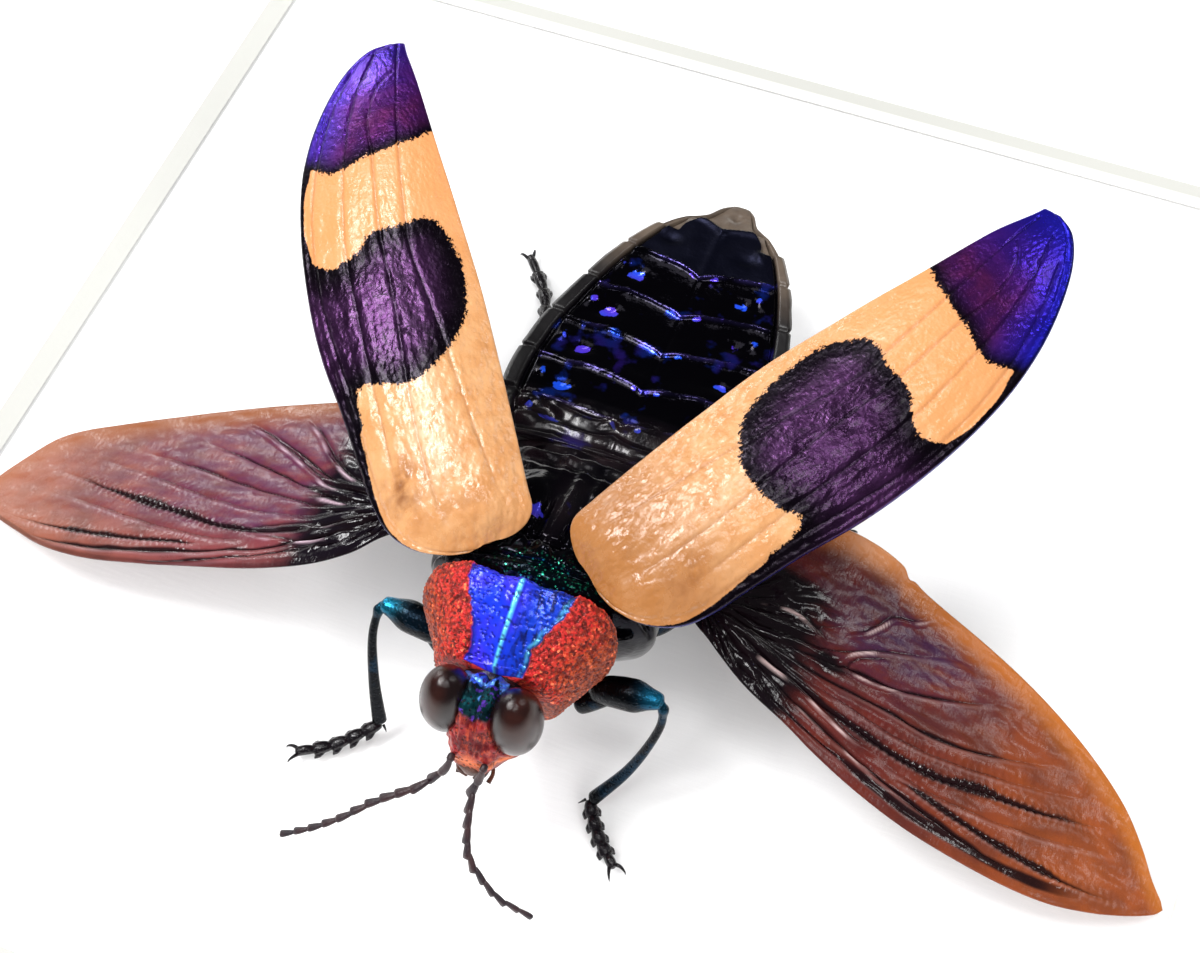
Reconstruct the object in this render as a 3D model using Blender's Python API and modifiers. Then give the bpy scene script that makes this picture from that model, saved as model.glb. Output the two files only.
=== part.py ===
"""Jewel beetle specimen with spread wings, in a white frame with a window mat.

Lengths are millimetres here, and metres in the meshes. The frame's back lies on z = 0 with its
centre at the origin, and the beetle's head points to -Y. A beetle point is (out, along, up):
out from the beetle's midline, along +Y, up from the card. Left and right are the beetle's own
sides, so its left side is +X.
"""

import math

import bmesh
import bpy
import numpy as np
from mathutils import Matrix

OBJECT_NAME = "framed_jewel_beetle"
MM = 0.001
GAP = 0.3

# Frame: half sizes across, heights from the back
RAIL_OUTER = 76.0
RAIL_INNER = 64.0
RABBET = 67.0
RAIL_TOP = 14.5
RAIL_EASED_EDGE = 0.8
BOARD_TOP = 2.5
CARD_TOP = 5.0
MAT_TOP = 6.4
MAT_OPENING = 82.5

# Beetle: where its midline lies on the card
MIDLINE_X = 0.4

# Elytron: its own frame runs from the inner basal corner to the apex
ELYTRON_BASE = (1.3, -10.9, 16.4)
ELYTRON_APEX = {1: (20.8, 16.6, 22.3), -1: (20.7, 16.2, 21.6)}
ELYTRON_INNER_BULGE = {1: 1.3, -1: 0.55}
ELYTRON_THICKNESS = 0.4
ELYTRON_INNER_EDGE = [(-0.85, 2.6), (-0.6, 0.9), (0.2, -0.25), (2.0, -0.4), (6.0, -0.65),
                      (10.0, -0.85), (15.0, -0.95), (20.0, -0.6), (25.0, -0.15),
                      (30.0, 0.05), (33.0, 0.15), (34.4, 0.1)]
ELYTRON_OUTER_EDGE = [(-0.9, 3.9), (-0.7, 5.6), (0.1, 7.1), (1.6, 8.2), (3.6, 8.75),
                      (6.2, 9.0), (9.5, 9.3), (13.0, 9.7), (16.5, 9.75), (20.8, 9.4),
                      (24.6, 8.7), (27.8, 7.6), (30.5, 6.2), (33.0, 4.4), (34.5, 2.6),
                      (34.75, 1.1)]
ELYTRON_INNER_RISE = [(-1, -1.3), (0.4, -0.2), (2, 0.1), (10, 0.45), (17, 0.85), (25, 1.55),
                      (30, 1.35), (34.8, 0.0)]
ELYTRON_OUTER_RISE = [(-1, -1.6), (2, -2.2), (6, -1.7), (10, -1.25), (20, -0.9), (26, -0.55),
                      (34.8, 0.0)]
ELYTRON_CROWN = [(-1, 0.0), (1, 1.1), (5, 1.5), (15, 1.3), (25, 1.0), (34.8, 0.1)]

# Hind wings: edges from the root to the tip, (out, along), left is 1 and right is -1
WING_LEADING = {
    1: [(7.0, -10.6), (10.0, -12.2), (12.9, -13.9), (16.0, -15.0), (18.2, -15.9),
        (21.0, -16.8), (24.3, -17.5), (27.9, -17.8), (31.0, -17.8), (33.4, -17.5),
        (35.7, -16.8), (37.7, -15.9), (39.2, -15.0), (39.7, -14.4)],
    -1: [(7.0, -10.6), (10.2, -12.5), (12.0, -14.1), (14.5, -15.3), (18.0, -16.1),
         (21.8, -16.5), (25.5, -16.8), (29.5, -16.95), (33.1, -16.5), (36.0, -15.5),
         (38.4, -14.5), (40.2, -13.6)],
}
WING_TRAILING = {
    1: [(7.0, -8.4), (8.6, -5.0), (11.5, -2.4), (14.5, -1.1), (17.0, -0.9), (19.2, -1.4),
        (20.9, -2.4), (25.5, -3.75), (29.2, -5.1), (32.7, -6.9), (35.7, -9.1), (37.5, -11.2),
        (38.6, -12.9), (39.5, -14.0)],
    -1: [(7.0, -8.4), (8.6, -5.0), (11.5, -2.6), (14.5, -2.0), (18.2, -2.6), (23.7, -3.7),
         (29.5, -5.2), (33.0, -6.2), (35.3, -6.95), (37.1, -8.0), (38.9, -10.3),
         (39.8, -11.8), (40.2, -13.2)],
}
WING_ROOT_UP = 12.35
WING_DROP = 0.3443
WING_THICKNESS = 0.3
WING_PLEATS = 4
WING_PLEAT_HEIGHT = 0.28

# Body stations: (along, half width, up at the middle, up at the widest place, up below)
PRONOTUM_STATIONS = [(-14.95, 5.2, 16.0, 13.6, 8.2), (-15.3, 5.65, 16.2, 13.2, 7.8),
                     (-16.2, 5.75, 15.9, 12.6, 7.5), (-17.4, 5.2, 15.3, 12.0, 7.5),
                     (-18.6, 4.5, 14.6, 11.5, 7.7), (-19.5, 3.95, 14.0, 11.2, 8.0),
                     (-19.85, 3.6, 13.7, 11.2, 8.4)]
THORAX_STATIONS = [(-14.5, 5.2, 14.6, 11.6, 8.0), (-13.8, 7.3, 15.0, 11.0, 6.6),
                   (-12.8, 7.5, 15.1, 10.4, 5.0), (-11.4, 6.9, 15.0, 9.6, 3.8),
                   (-8.4, 6.7, 14.6, 9.2, 3.2), (-6.0, 6.9, 13.9, 9.2, 3.2),
                   (-4.2, 7.0, 13.0, 9.2, 3.8), (-3.2, 6.7, 12.2, 9.2, 4.6)]
HEAD_STATIONS = [(-20.2, 2.5, 13.2, 11.0, 8.2), (-20.9, 2.9, 13.8, 10.8, 7.5),
                 (-21.8, 2.7, 14.0, 10.5, 7.2), (-22.6, 2.0, 13.6, 10.2, 7.3),
                 (-23.3, 1.55, 12.6, 9.9, 7.8), (-23.8, 1.3, 11.5, 9.6, 8.3),
                 (-24.05, 0.9, 10.7, 9.5, 8.8)]

# Abdomen: (along, half width, up at the middle of the back, up at the side edge, up below)
ABDOMEN_STATIONS = [(-2.85, 7.2, 12.2, 11.2, 4.6), (0.0, 8.0, 11.5, 10.9, 4.2),
                    (3.3, 8.4, 10.9, 10.6, 4.3), (6.6, 8.2, 10.4, 10.4, 4.7),
                    (9.6, 7.5, 10.1, 10.3, 5.2), (12.4, 6.7, 10.0, 10.2, 5.8),
                    (15.2, 5.6, 10.0, 10.1, 6.4), (17.6, 4.3, 9.9, 9.9, 6.9),
                    (19.2, 3.0, 9.6, 9.6, 7.2), (20.2, 1.8, 9.3, 9.2, 7.4),
                    (21.4, 1.2, 8.9, 8.8, 7.6), (22.1, 0.6, 8.5, 8.4, 7.8)]
TERGITE_FRONTS = [0.6, 4.2, 7.8, 11.4, 15.0]
TERGITE_STEP = 0.35
ABDOMEN_BEND = 0.5

EYE_CENTRE = (2.2, -21.8, 12.05)
EYE_RADII = (1.5, 1.65, 2.25)

# Legs: joints from the hip to the last tarsal lobe, for each leg of the beetle's left side
LEG_JOINTS = {
    "front": [(4.2, -16.9, 7.5), (5.5, -16.4, 8.8), (9.1, -16.4, 9.7), (9.0, -17.0, 7.4),
              (7.7, -18.3, 4.0), (5.7, -19.9, 1.25), (6.9, -21.6, 0.75), (8.5, -23.2, 0.65)],
    "middle": [(4.6, -9.6, 3.2), (6.0, -8.2, 4.6), (8.6, -4.8, 7.4), (9.2, -3.6, 6.4),
               (10.3, -1.4, 4.0), (11.4, 0.6, 1.25), (12.7, 2.8, 0.75), (14.0, 4.8, 0.65)],
    "hind": [(4.6, -5.6, 2.4), (5.8, -4.0, 3.2), (8.5, 2.8, 6.0), (8.8, 4.2, 5.6),
             (9.5, 8.0, 3.6), (10.2, 11.9, 1.25), (11.6, 15.9, 0.75), (14.0, 19.0, 0.65)],
}
RIGHT_FRONT_JOINTS = [(4.2, -16.8, 7.5), (5.5, -16.2, 8.8), (9.1, -16.0, 9.7),
                      (9.3, -17.2, 7.6), (8.9, -18.5, 4.6), (8.3, -19.6, 1.25),
                      (10.5, -21.7, 0.75), (12.5, -22.9, 0.65)]
CLAW_LENGTH = 0.9
TARSAL_LOBES = 5

# Antennae: points from the root to the tip
LEFT_ANTENNA = [(1.05, -24.4, 10.0), (0.86, -24.6, 9.2), (0.66, -25.0, 8.4),
                (0.75, -25.9, 7.6), (0.97, -26.8, 6.9), (1.39, -27.75, 6.2),
                (2.2, -28.43, 5.5), (3.62, -29.08, 4.7), (5.46, -29.23, 4.0)]
RIGHT_ANTENNA = [(0.98, -24.4, 10.0), (1.2, -24.65, 9.2), (1.7, -24.94, 8.5),
                 (2.62, -25.74, 7.9), (4.77, -26.99, 6.8), (6.38, -28.15, 5.9),
                 (7.93, -28.97, 5.0), (9.69, -29.59, 4.0)]
ANTENNA_RADIUS = 0.27
ANTENNA_SEGMENTS = 11


def clear_scene():
    for item in list(bpy.data.objects):
        bpy.data.objects.remove(item, do_unlink=True)


def new_collection(name):
    collection = bpy.data.collections.new(name)
    bpy.context.scene.collection.children.link(collection)
    return collection


def new_material(name, colour, roughness, metallic=0.0):
    material = bpy.data.materials.new(name)
    material.use_nodes = True
    shader = material.node_tree.nodes["Principled BSDF"]
    shader.inputs["Base Color"].default_value = (*colour, 1.0)
    shader.inputs["Roughness"].default_value = roughness
    shader.inputs["Metallic"].default_value = metallic
    return material


# Curves and points


def smooth_values(points):
    """Give a function of x that runs smoothly through (x, y) points without overshoot."""
    xs = np.array([point[0] for point in points], dtype=float)
    ys = np.array([point[1] for point in points], dtype=float)
    slopes = np.diff(ys) / np.diff(xs)
    tangents = np.zeros(len(xs))
    tangents[0] = slopes[0]
    tangents[-1] = slopes[-1]
    for i in range(1, len(xs) - 1):
        if slopes[i - 1] * slopes[i] > 0:
            tangents[i] = 2 * slopes[i - 1] * slopes[i] / (slopes[i - 1] + slopes[i])

    def value(x):
        x = min(max(x, xs[0]), xs[-1])
        i = min(int(np.searchsorted(xs, x, side="right")) - 1, len(xs) - 2)
        width = xs[i + 1] - xs[i]
        t = (x - xs[i]) / width
        rise = (3 - 2 * t) * t * t
        return ((1 - rise) * ys[i] + rise * ys[i + 1]
                + width * t * (1 - t) * ((1 - t) * tangents[i] - t * tangents[i + 1]))

    return value


def points_along(points, count):
    """Space points evenly on a smooth curve through the given points."""
    knots = np.array(points, dtype=float)
    ends = np.vstack([2 * knots[0] - knots[1], knots, 2 * knots[-1] - knots[-2]])
    dense = []
    for i in range(1, len(ends) - 2):
        before, start, end, after = ends[i - 1:i + 3]
        for t in np.linspace(0, 1, 12, endpoint=False):
            dense.append(0.5 * (2 * start + (end - before) * t
                                + (2 * before - 5 * start + 4 * end - after) * t ** 2
                                + (3 * start - before - 3 * end + after) * t ** 3))
    dense = np.array(dense + [knots[-1]])
    steps = np.linalg.norm(np.diff(dense, axis=0), axis=1)
    lengths = np.concatenate([[0], np.cumsum(steps)])
    places = np.linspace(0, lengths[-1], count)
    return np.stack([np.interp(places, lengths, dense[:, axis])
                     for axis in range(dense.shape[1])], axis=1)


def world_point(out, along, up, side):
    return ((MIDLINE_X + side * out) * MM, along * MM, (CARD_TOP + up) * MM)


# Mesh makers


def add_object(name, mesh, collection, material):
    mesh.shade_smooth()
    mesh.set_sharp_from_angle(angle=math.radians(40))
    mesh.materials.append(material)
    made = bpy.data.objects.new(name, mesh)
    collection.objects.link(made)
    return made


def mesh_from(name, points, faces):
    """Make a mesh from points and faces, with its faces turned outwards."""
    mesh = bpy.data.meshes.new(name)
    mesh.from_pydata([tuple(point) for point in points], [], faces)
    work = bmesh.new()
    work.from_mesh(mesh)
    bmesh.ops.recalc_face_normals(work, faces=work.faces)
    work.to_mesh(mesh)
    work.free()
    return mesh


def loft_mesh(name, rings):
    """Join rings of equal point count into one closed body."""
    sides = len(rings[0])
    points = [point for ring in rings for point in ring]
    faces = []
    for row in range(len(rings) - 1):
        for i in range(sides):
            j = (i + 1) % sides
            faces.append((row * sides + i, row * sides + j,
                          (row + 1) * sides + j, (row + 1) * sides + i))
    faces.append(tuple(range(sides))[::-1])
    last = (len(rings) - 1) * sides
    faces.append(tuple(range(last, last + sides)))
    return mesh_from(name, points, faces)


def sheet_mesh(name, grid):
    """Make an open sheet from rows of points."""
    columns = len(grid[0])
    points = [point for row in grid for point in row]
    faces = []
    for row in range(len(grid) - 1):
        for i in range(columns - 1):
            first = row * columns + i
            faces.append((first, first + 1, first + columns + 1, first + columns))
    return mesh_from(name, points, faces)


def thicken(sheet, thickness):
    """Give a sheet its wall, half to each side."""
    wall = sheet.modifiers.new("Wall", "SOLIDIFY")
    wall.thickness = thickness * MM
    wall.offset = 0.0


def tube_rings(path, widths, heights, sides, side):
    """Set oval rings square to a path of (out, along, up) points."""
    path = np.array(path, dtype=float)
    rings = []
    for i, centre in enumerate(path):
        ahead = path[min(i + 1, len(path) - 1)] - path[max(i - 1, 0)]
        ahead /= np.linalg.norm(ahead)
        across = np.cross(ahead, (0.0, 0.0, 1.0))
        across /= max(np.linalg.norm(across), 1e-6)
        above = np.cross(across, ahead)
        ring = []
        for k in range(sides):
            angle = 2 * math.pi * k / sides
            spot = (centre + across * widths[i] * math.cos(angle)
                    + above * heights[i] * math.sin(angle))
            ring.append(world_point(*spot, side))
        rings.append(ring)
    return rings


# Frame


def make_slab(name, half_size, bottom, top, collection, material):
    bpy.ops.mesh.primitive_cube_add(size=1)
    slab = bpy.context.object
    slab.name = name
    slab.data.name = name
    slab.data.transform(Matrix.Diagonal((2 * half_size * MM, 2 * half_size * MM,
                                         (top - bottom) * MM, 1.0)))
    slab.data.transform(Matrix.Translation((0, 0, (top + bottom) / 2 * MM)))
    slab.data.materials.append(material)
    for owner in list(slab.users_collection):
        owner.objects.unlink(slab)
    collection.objects.link(slab)
    return slab


def make_window_mat(collection, cutters, material):
    """A square sheet whose window is cut with a 45 degree bevel."""
    mat = make_slab("window_mat", RABBET - GAP, CARD_TOP + GAP, MAT_TOP, collection, material)
    reach = 4.0
    middle = (CARD_TOP + GAP + MAT_TOP) / 2
    rings = []
    for height in (middle - reach, middle + reach):
        half = MAT_OPENING / 2 + (height - middle)
        rings.append([(x * half * MM, y * half * MM, height * MM)
                      for x, y in ((-1, -1), (1, -1), (1, 1), (-1, 1))])
    cutter = add_object("window_cutter", loft_mesh("window_cutter", rings), cutters, material)
    hide_cutter(cutter)
    cut = mat.modifiers.new("Window", "BOOLEAN")
    cut.operation = "DIFFERENCE"
    cut.object = cutter
    return mat


def hide_cutter(cutter):
    cutter.hide_render = True
    cutter.display_type = "WIRE"


def make_rail(name, turn, collection, material):
    """One mitred rail with a rabbet behind its lip, turned about the frame's centre."""
    ease = RAIL_EASED_EDGE
    lip_bottom = MAT_TOP + GAP
    section = [(RABBET, 0), (RAIL_OUTER, 0), (RAIL_OUTER, RAIL_TOP - ease),
               (RAIL_OUTER - ease, RAIL_TOP), (RAIL_INNER + ease, RAIL_TOP),
               (RAIL_INNER, RAIL_TOP - ease), (RAIL_INNER, lip_bottom), (RABBET, lip_bottom)]
    mitre_gap = GAP / 2 * math.sqrt(2)
    rings = []
    for end in (-1, 1):
        ring = []
        for out, height in section:
            along = end * (out - mitre_gap)
            x = out * math.cos(turn) - along * math.sin(turn)
            y = out * math.sin(turn) + along * math.cos(turn)
            ring.append((x * MM, y * MM, height * MM))
        rings.append(ring)
    return add_object(name, loft_mesh(name, rings), collection, material)


# Wings


def elytron_axes(side):
    """Give the elytron's own axes: along its length, across it, and out of its face."""
    base = np.array(ELYTRON_BASE)
    length_axis = np.array(ELYTRON_APEX[side]) - base
    length_axis /= np.linalg.norm(length_axis)
    cross_axis = np.cross(length_axis, (0, 0, 1))
    cross_axis /= np.linalg.norm(cross_axis)
    return base, length_axis, cross_axis, np.cross(cross_axis, length_axis)


def elytron_grid(rows, columns, side):
    """Points over the elytron: rows from base to apex, columns from inner to outer edge."""
    base, length_axis, cross_axis, face_axis = elytron_axes(side)
    inner_rise = smooth_values(ELYTRON_INNER_RISE)
    outer_rise = smooth_values(ELYTRON_OUTER_RISE)
    crown = smooth_values(ELYTRON_CROWN)
    bulge = ELYTRON_INNER_BULGE[side]
    inner = points_along([(u, v * bulge if v < 0 else v) for u, v in ELYTRON_INNER_EDGE], rows)
    outer = points_along(ELYTRON_OUTER_EDGE, rows)
    grid = []
    for row in range(rows):
        line = []
        for t in np.linspace(0, 1, columns):
            u, v = inner[row] * (1 - t) + outer[row] * t
            rise = (inner_rise(u) * (1 - t) + outer_rise(u) * t
                    + crown(u) * 4 * t * (1 - t))
            spot = base + length_axis * u + cross_axis * v + face_axis * rise
            line.append(world_point(*spot, side))
        grid.append(line)
    return grid


def make_elytron(name, side, collection, material):
    mesh = sheet_mesh(name, elytron_grid(20, 8, side))
    elytron = add_object(name, mesh, collection, material)
    thicken(elytron, ELYTRON_THICKNESS)
    return elytron


def wing_grid(rows, columns, side):
    """Points over the hind wing: rows from root to tip, columns from front to hind edge."""
    leading = points_along(WING_LEADING[side], rows)
    trailing = points_along(WING_TRAILING[side], rows)
    grid = []
    for row in range(rows):
        spread = math.sin(math.pi * row / (rows - 1)) ** 0.5
        line = []
        for t in np.linspace(0, 1, columns):
            out, along = leading[row] * (1 - t) + trailing[row] * t
            up = WING_ROOT_UP - WING_DROP * (out - WING_LEADING[side][0][0])
            up += WING_PLEAT_HEIGHT * spread * math.cos(2 * math.pi * WING_PLEATS * t)
            line.append(world_point(out, along, up, side))
        grid.append(line)
    return grid


def make_hind_wing(name, side, collection, material):
    mesh = sheet_mesh(name, wing_grid(22, 2 * WING_PLEATS + 1, side))
    wing = add_object(name, mesh, collection, material)
    thicken(wing, WING_THICKNESS)
    return wing


# Body


def body_rings(stations, sides, roundness):
    """Rings of a rounded body: flatter on its back as roundness goes down."""
    rings = []
    for along, half_width, top, waist, bottom in stations:
        ring = []
        for k in range(sides):
            angle = 2 * math.pi * k / sides
            out = half_width * math.copysign(abs(math.cos(angle)) ** roundness,
                                             math.cos(angle))
            lift = math.sin(angle)
            up = waist + (top - waist) * lift if lift > 0 else waist + (waist - bottom) * lift
            ring.append(world_point(out, along, up, 1))
        rings.append(ring)
    return rings


def make_body(name, stations, sides, roundness, collection, material):
    mesh = loft_mesh(name, body_rings(stations, sides, roundness))
    return add_object(name, mesh, collection, material)


def make_abdomen(collection, material):
    """A boat-shaped abdomen: a flat back of stepped plates with a raised rim."""
    values = [smooth_values([(s[0], s[i]) for s in ABDOMEN_STATIONS]) for i in range(1, 5)]
    stations = [s[0] for s in ABDOMEN_STATIONS]
    places = set(stations)
    for front in TERGITE_FRONTS:
        places -= {s for s in stations if abs(s - front) < 0.7}
        places |= {front - 0.25, front + 0.25}
    rings = []
    for along in sorted(places):
        half_width, top, edge, bottom = (value(along) for value in values)
        bend = ABDOMEN_BEND * max(along, 0) / ABDOMEN_STATIONS[-1][0]
        passed = [front for front in TERGITE_FRONTS if front < along]
        last = passed[-1] if passed else stations[0]
        following = [front for front in TERGITE_FRONTS if front > along]
        length = (following[0] if following else stations[-1]) - last
        step = TERGITE_STEP * (along - last) / length
        ring = []
        for out in np.linspace(-1, 1, 9):
            rim = abs(out) ** 3
            up = top * (1 - rim) + edge * rim + step * (1 - abs(out) ** 6)
            ring.append(world_point(out * half_width + bend, along, up, 1))
        for k in range(1, 8):
            angle = math.pi * k / 8
            out = half_width * math.cos(angle)
            up = edge - 0.5 - (edge - 0.5 - bottom) * math.sin(angle)
            ring.append(world_point(out + bend, along, up, 1))
        rings.append(ring)
    return add_object("abdomen", loft_mesh("abdomen", rings), collection, material)


def make_eye(name, side, grow, collection, material):
    """An oval eye, or with grow its socket's cutter."""
    mesh = bpy.data.meshes.new(name)
    work = bmesh.new()
    bmesh.ops.create_uvsphere(work, u_segments=16, v_segments=10, radius=1.0)
    radii = [radius + grow for radius in EYE_RADII]
    bmesh.ops.scale(work, vec=[radius * MM for radius in radii], verts=work.verts)
    bmesh.ops.translate(work, vec=world_point(*EYE_CENTRE, side), verts=work.verts)
    work.to_mesh(mesh)
    work.free()
    return add_object(name, mesh, collection, material)


def make_head(collection, cutters, material):
    head = make_body("head", HEAD_STATIONS, 16, 0.8, collection, material)
    for name, side in (("left_socket", 1), ("right_socket", -1)):
        socket = make_eye(name, side, GAP, cutters, material)
        hide_cutter(socket)
        cut = head.modifiers.new(name, "BOOLEAN")
        cut.operation = "DIFFERENCE"
        cut.object = socket
    return head


# Legs and antennae


def leg_path(joints):
    """Follow a leg's joints, with its radii, and widen it at each tarsal lobe."""
    upper = points_along(joints[:3], 7)
    shin = points_along(joints[2:6], 9)[1:]
    foot = points_along(joints[5:8], 2 * TARSAL_LOBES + 1)[1:]
    path = np.vstack([upper, shin, foot])
    thigh_radius = smooth_values([(0, 0.8), (0.45, 1.1), (0.75, 0.9), (1.0, 0.5)])
    widths = [thigh_radius(t) for t in np.linspace(0, 1, 7)]
    widths += [0.36 + 0.14 * t for t in np.linspace(0, 1, 8)]
    for lobe in range(TARSAL_LOBES):
        widths += [0.34, 0.6]
    heights = list(widths[:15]) + [min(width, 0.4) for width in widths[15:]]
    return path, widths, heights


def make_leg(name, joints, side, collection, cutters, material):
    path, widths, heights = leg_path(joints)
    rings = tube_rings(path, widths, heights, 8, side)
    leg = add_object(name, loft_mesh(name, rings), collection, material)
    ahead = path[-1] - path[-3]
    ahead /= np.linalg.norm(ahead)
    across = np.cross(ahead, (0.0, 0.0, 1.0))
    for claw_name, turn in (("outer_claw", 1), ("inner_claw", -1)):
        claw_name = name + "_" + claw_name
        start = path[-1] - ahead * 0.3 + across * 0.12 * turn
        hook = [start, start + ahead * 0.55 + across * 0.3 * turn + np.array((0, 0, 0.05)),
                start + ahead * CLAW_LENGTH + across * 0.42 * turn - np.array((0, 0, 0.2))]
        rings = tube_rings(hook, (0.15, 0.11, 0.05), (0.15, 0.11, 0.05), 6, side)
        claw = add_object(claw_name, loft_mesh(claw_name, rings), cutters, material)
        hide_cutter(claw)
        join = leg.modifiers.new(claw_name, "BOOLEAN")
        join.operation = "UNION"
        join.object = claw
    return leg


def make_antenna(name, points, side, collection, material):
    """A row of segments, each widening to its far end."""
    path = points_along(points, 2 * ANTENNA_SEGMENTS + 1)
    widths = []
    for i in range(len(path)):
        taper = 1 - 0.35 * i / (len(path) - 1)
        widths.append(ANTENNA_RADIUS * taper * (1.0 if i % 2 else 0.62))
    rings = tube_rings(path, widths, widths, 6, side)
    return add_object(name, loft_mesh(name, rings), collection, material)


def main():
    clear_scene()
    parts = new_collection(OBJECT_NAME)
    cutters = new_collection("cutters")

    paint = new_material("white_paint", (0.82, 0.82, 0.80), 0.4)
    board = new_material("back_board_fibre", (0.38, 0.27, 0.18), 0.8)
    card = new_material("white_card", (0.86, 0.86, 0.85), 0.85)
    cream = new_material("elytron_cream", (0.78, 0.45, 0.17), 0.35)
    membrane = new_material("wing_membrane", (0.22, 0.07, 0.04), 0.35)
    black = new_material("glossy_black", (0.015, 0.01, 0.05), 0.15)
    blue = new_material("pronotum_blue", (0.05, 0.06, 0.6), 0.3, 0.7)
    red = new_material("head_red", (0.4, 0.05, 0.03), 0.5, 0.4)
    eye = new_material("eye_brown", (0.06, 0.02, 0.012), 0.1)
    leg = new_material("leg_blue_black", (0.01, 0.04, 0.07), 0.2, 0.4)
    horn = new_material("antenna_brown", (0.05, 0.025, 0.02), 0.4)

    make_slab("back_board", RABBET - GAP, 0, BOARD_TOP, parts, board)
    make_slab("backing_card", RABBET - GAP, BOARD_TOP + GAP, CARD_TOP, parts, card)
    make_window_mat(parts, cutters, card)
    for name, quarter in (("left", 0), ("tail", 1), ("right", 2), ("head", 3)):
        make_rail("frame_rail_" + name, quarter * math.pi / 2, parts, paint)

    make_head(parts, cutters, red)
    make_body("pronotum", PRONOTUM_STATIONS, 20, 0.8, parts, blue)
    make_body("hind_thorax", THORAX_STATIONS, 20, 0.9, parts, black)
    make_abdomen(parts, black)
    for name, side in (("left", 1), ("right", -1)):
        make_eye(name + "_eye", side, 0.0, parts, eye)
        make_elytron(name + "_elytron", side, parts, cream)
        make_hind_wing(name + "_hind_wing", side, parts, membrane)
        for place, joints in LEG_JOINTS.items():
            if (name, place) == ("right", "front"):
                joints = RIGHT_FRONT_JOINTS
            make_leg(name + "_" + place + "_leg", joints, side, parts, cutters, leg)
    make_antenna("left_antenna", LEFT_ANTENNA, 1, parts, horn)
    make_antenna("right_antenna", RIGHT_ANTENNA, -1, parts, horn)


main()
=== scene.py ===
# %% [markdown]
# A jewel beetle in a window frame
#
# This lesson dresses a dried jewel beetle with spread wings, which lies on white card behind
# the window of a mat in a small white frame. The frame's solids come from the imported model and
# keep their shape. Each part of the insect gets a dense mesh in the place of its plain solid,
# because its look is made of ribs, pits, veins and folds of a tenth of a millimetre.

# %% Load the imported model
import math

import bmesh
import bpy
import numpy as np
from mathutils import Matrix, Vector
from mathutils.kdtree import KDTree


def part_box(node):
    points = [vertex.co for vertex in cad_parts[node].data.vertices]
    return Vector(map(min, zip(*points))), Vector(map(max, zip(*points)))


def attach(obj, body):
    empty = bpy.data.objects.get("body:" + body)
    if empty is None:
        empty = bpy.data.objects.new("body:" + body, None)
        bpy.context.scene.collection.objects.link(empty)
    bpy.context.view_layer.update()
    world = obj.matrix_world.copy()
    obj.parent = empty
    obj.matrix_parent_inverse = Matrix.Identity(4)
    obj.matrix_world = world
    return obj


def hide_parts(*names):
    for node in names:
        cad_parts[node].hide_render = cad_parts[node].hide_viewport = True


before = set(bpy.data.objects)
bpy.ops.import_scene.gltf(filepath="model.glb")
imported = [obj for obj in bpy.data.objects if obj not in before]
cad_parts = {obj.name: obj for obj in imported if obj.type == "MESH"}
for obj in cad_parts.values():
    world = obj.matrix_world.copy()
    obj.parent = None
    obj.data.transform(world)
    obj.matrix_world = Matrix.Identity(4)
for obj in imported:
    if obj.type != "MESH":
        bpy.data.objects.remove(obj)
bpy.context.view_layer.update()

MM = 0.001
BODY = "root"
card_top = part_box("backing_card")[1][2]
print("the card's face is", round(card_top / MM, 2), "mm above the frame's back")

# %% [markdown]
# Where a beetle point is
#
# Every point of the insect is (out, along, up) in millimetres: out from its midline, along the
# frame's +Y axis, which runs to its tail, and up from the card. One set of numbers then serves
# both sides, and side is 1 for the beetle's left and -1 for its right.

# %% Beetle points to metres
MIDLINE_X = 0.4


def to_frame(points, side=1):
    """Turn (out, along, up) in millimetres into metres in the frame."""
    points = np.asarray(points, dtype=float)
    placed = np.empty_like(points)
    placed[..., 0] = (MIDLINE_X + side * points[..., 0]) * MM
    placed[..., 1] = points[..., 1] * MM
    placed[..., 2] = card_top + points[..., 2] * MM
    return placed


print("the midline stands at x =", round(to_frame((0, 0, 0))[0] / MM, 2), "mm")

# %% [markdown]
# Curves, noise and distances
#
# An insect's outline is a smooth curve through a few measured points. Two kinds are used: a
# function that gives one value of another without overshoot, and a path in space with evenly
# spaced points. Wrinkles come from lattice noise, which is random values on a grid of whole
# numbers, blended smoothly in between. It is seeded, so each run gives the same wrinkles.

# %% Smooth values, paths and lattice noise


def smooth_values(points):
    """Give a function of x that runs smoothly through (x, y) points without overshoot."""
    xs, ys = np.array(points, dtype=float).T
    slopes = np.diff(ys) / np.diff(xs)
    tangents = np.zeros(len(xs))
    tangents[0] = slopes[0]
    tangents[-1] = slopes[-1]
    for i in range(1, len(xs) - 1):
        if slopes[i - 1] * slopes[i] > 0:
            tangents[i] = 2 * slopes[i - 1] * slopes[i] / (slopes[i - 1] + slopes[i])

    def value(x):
        x = np.clip(x, xs[0], xs[-1])
        i = np.clip(np.searchsorted(xs, x, side="right") - 1, 0, len(xs) - 2)
        width = xs[i + 1] - xs[i]
        t = (x - xs[i]) / width
        rise = (3 - 2 * t) * t * t
        return ((1 - rise) * ys[i] + rise * ys[i + 1]
                + width * t * (1 - t) * ((1 - t) * tangents[i] - t * tangents[i + 1]))

    return value


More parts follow.
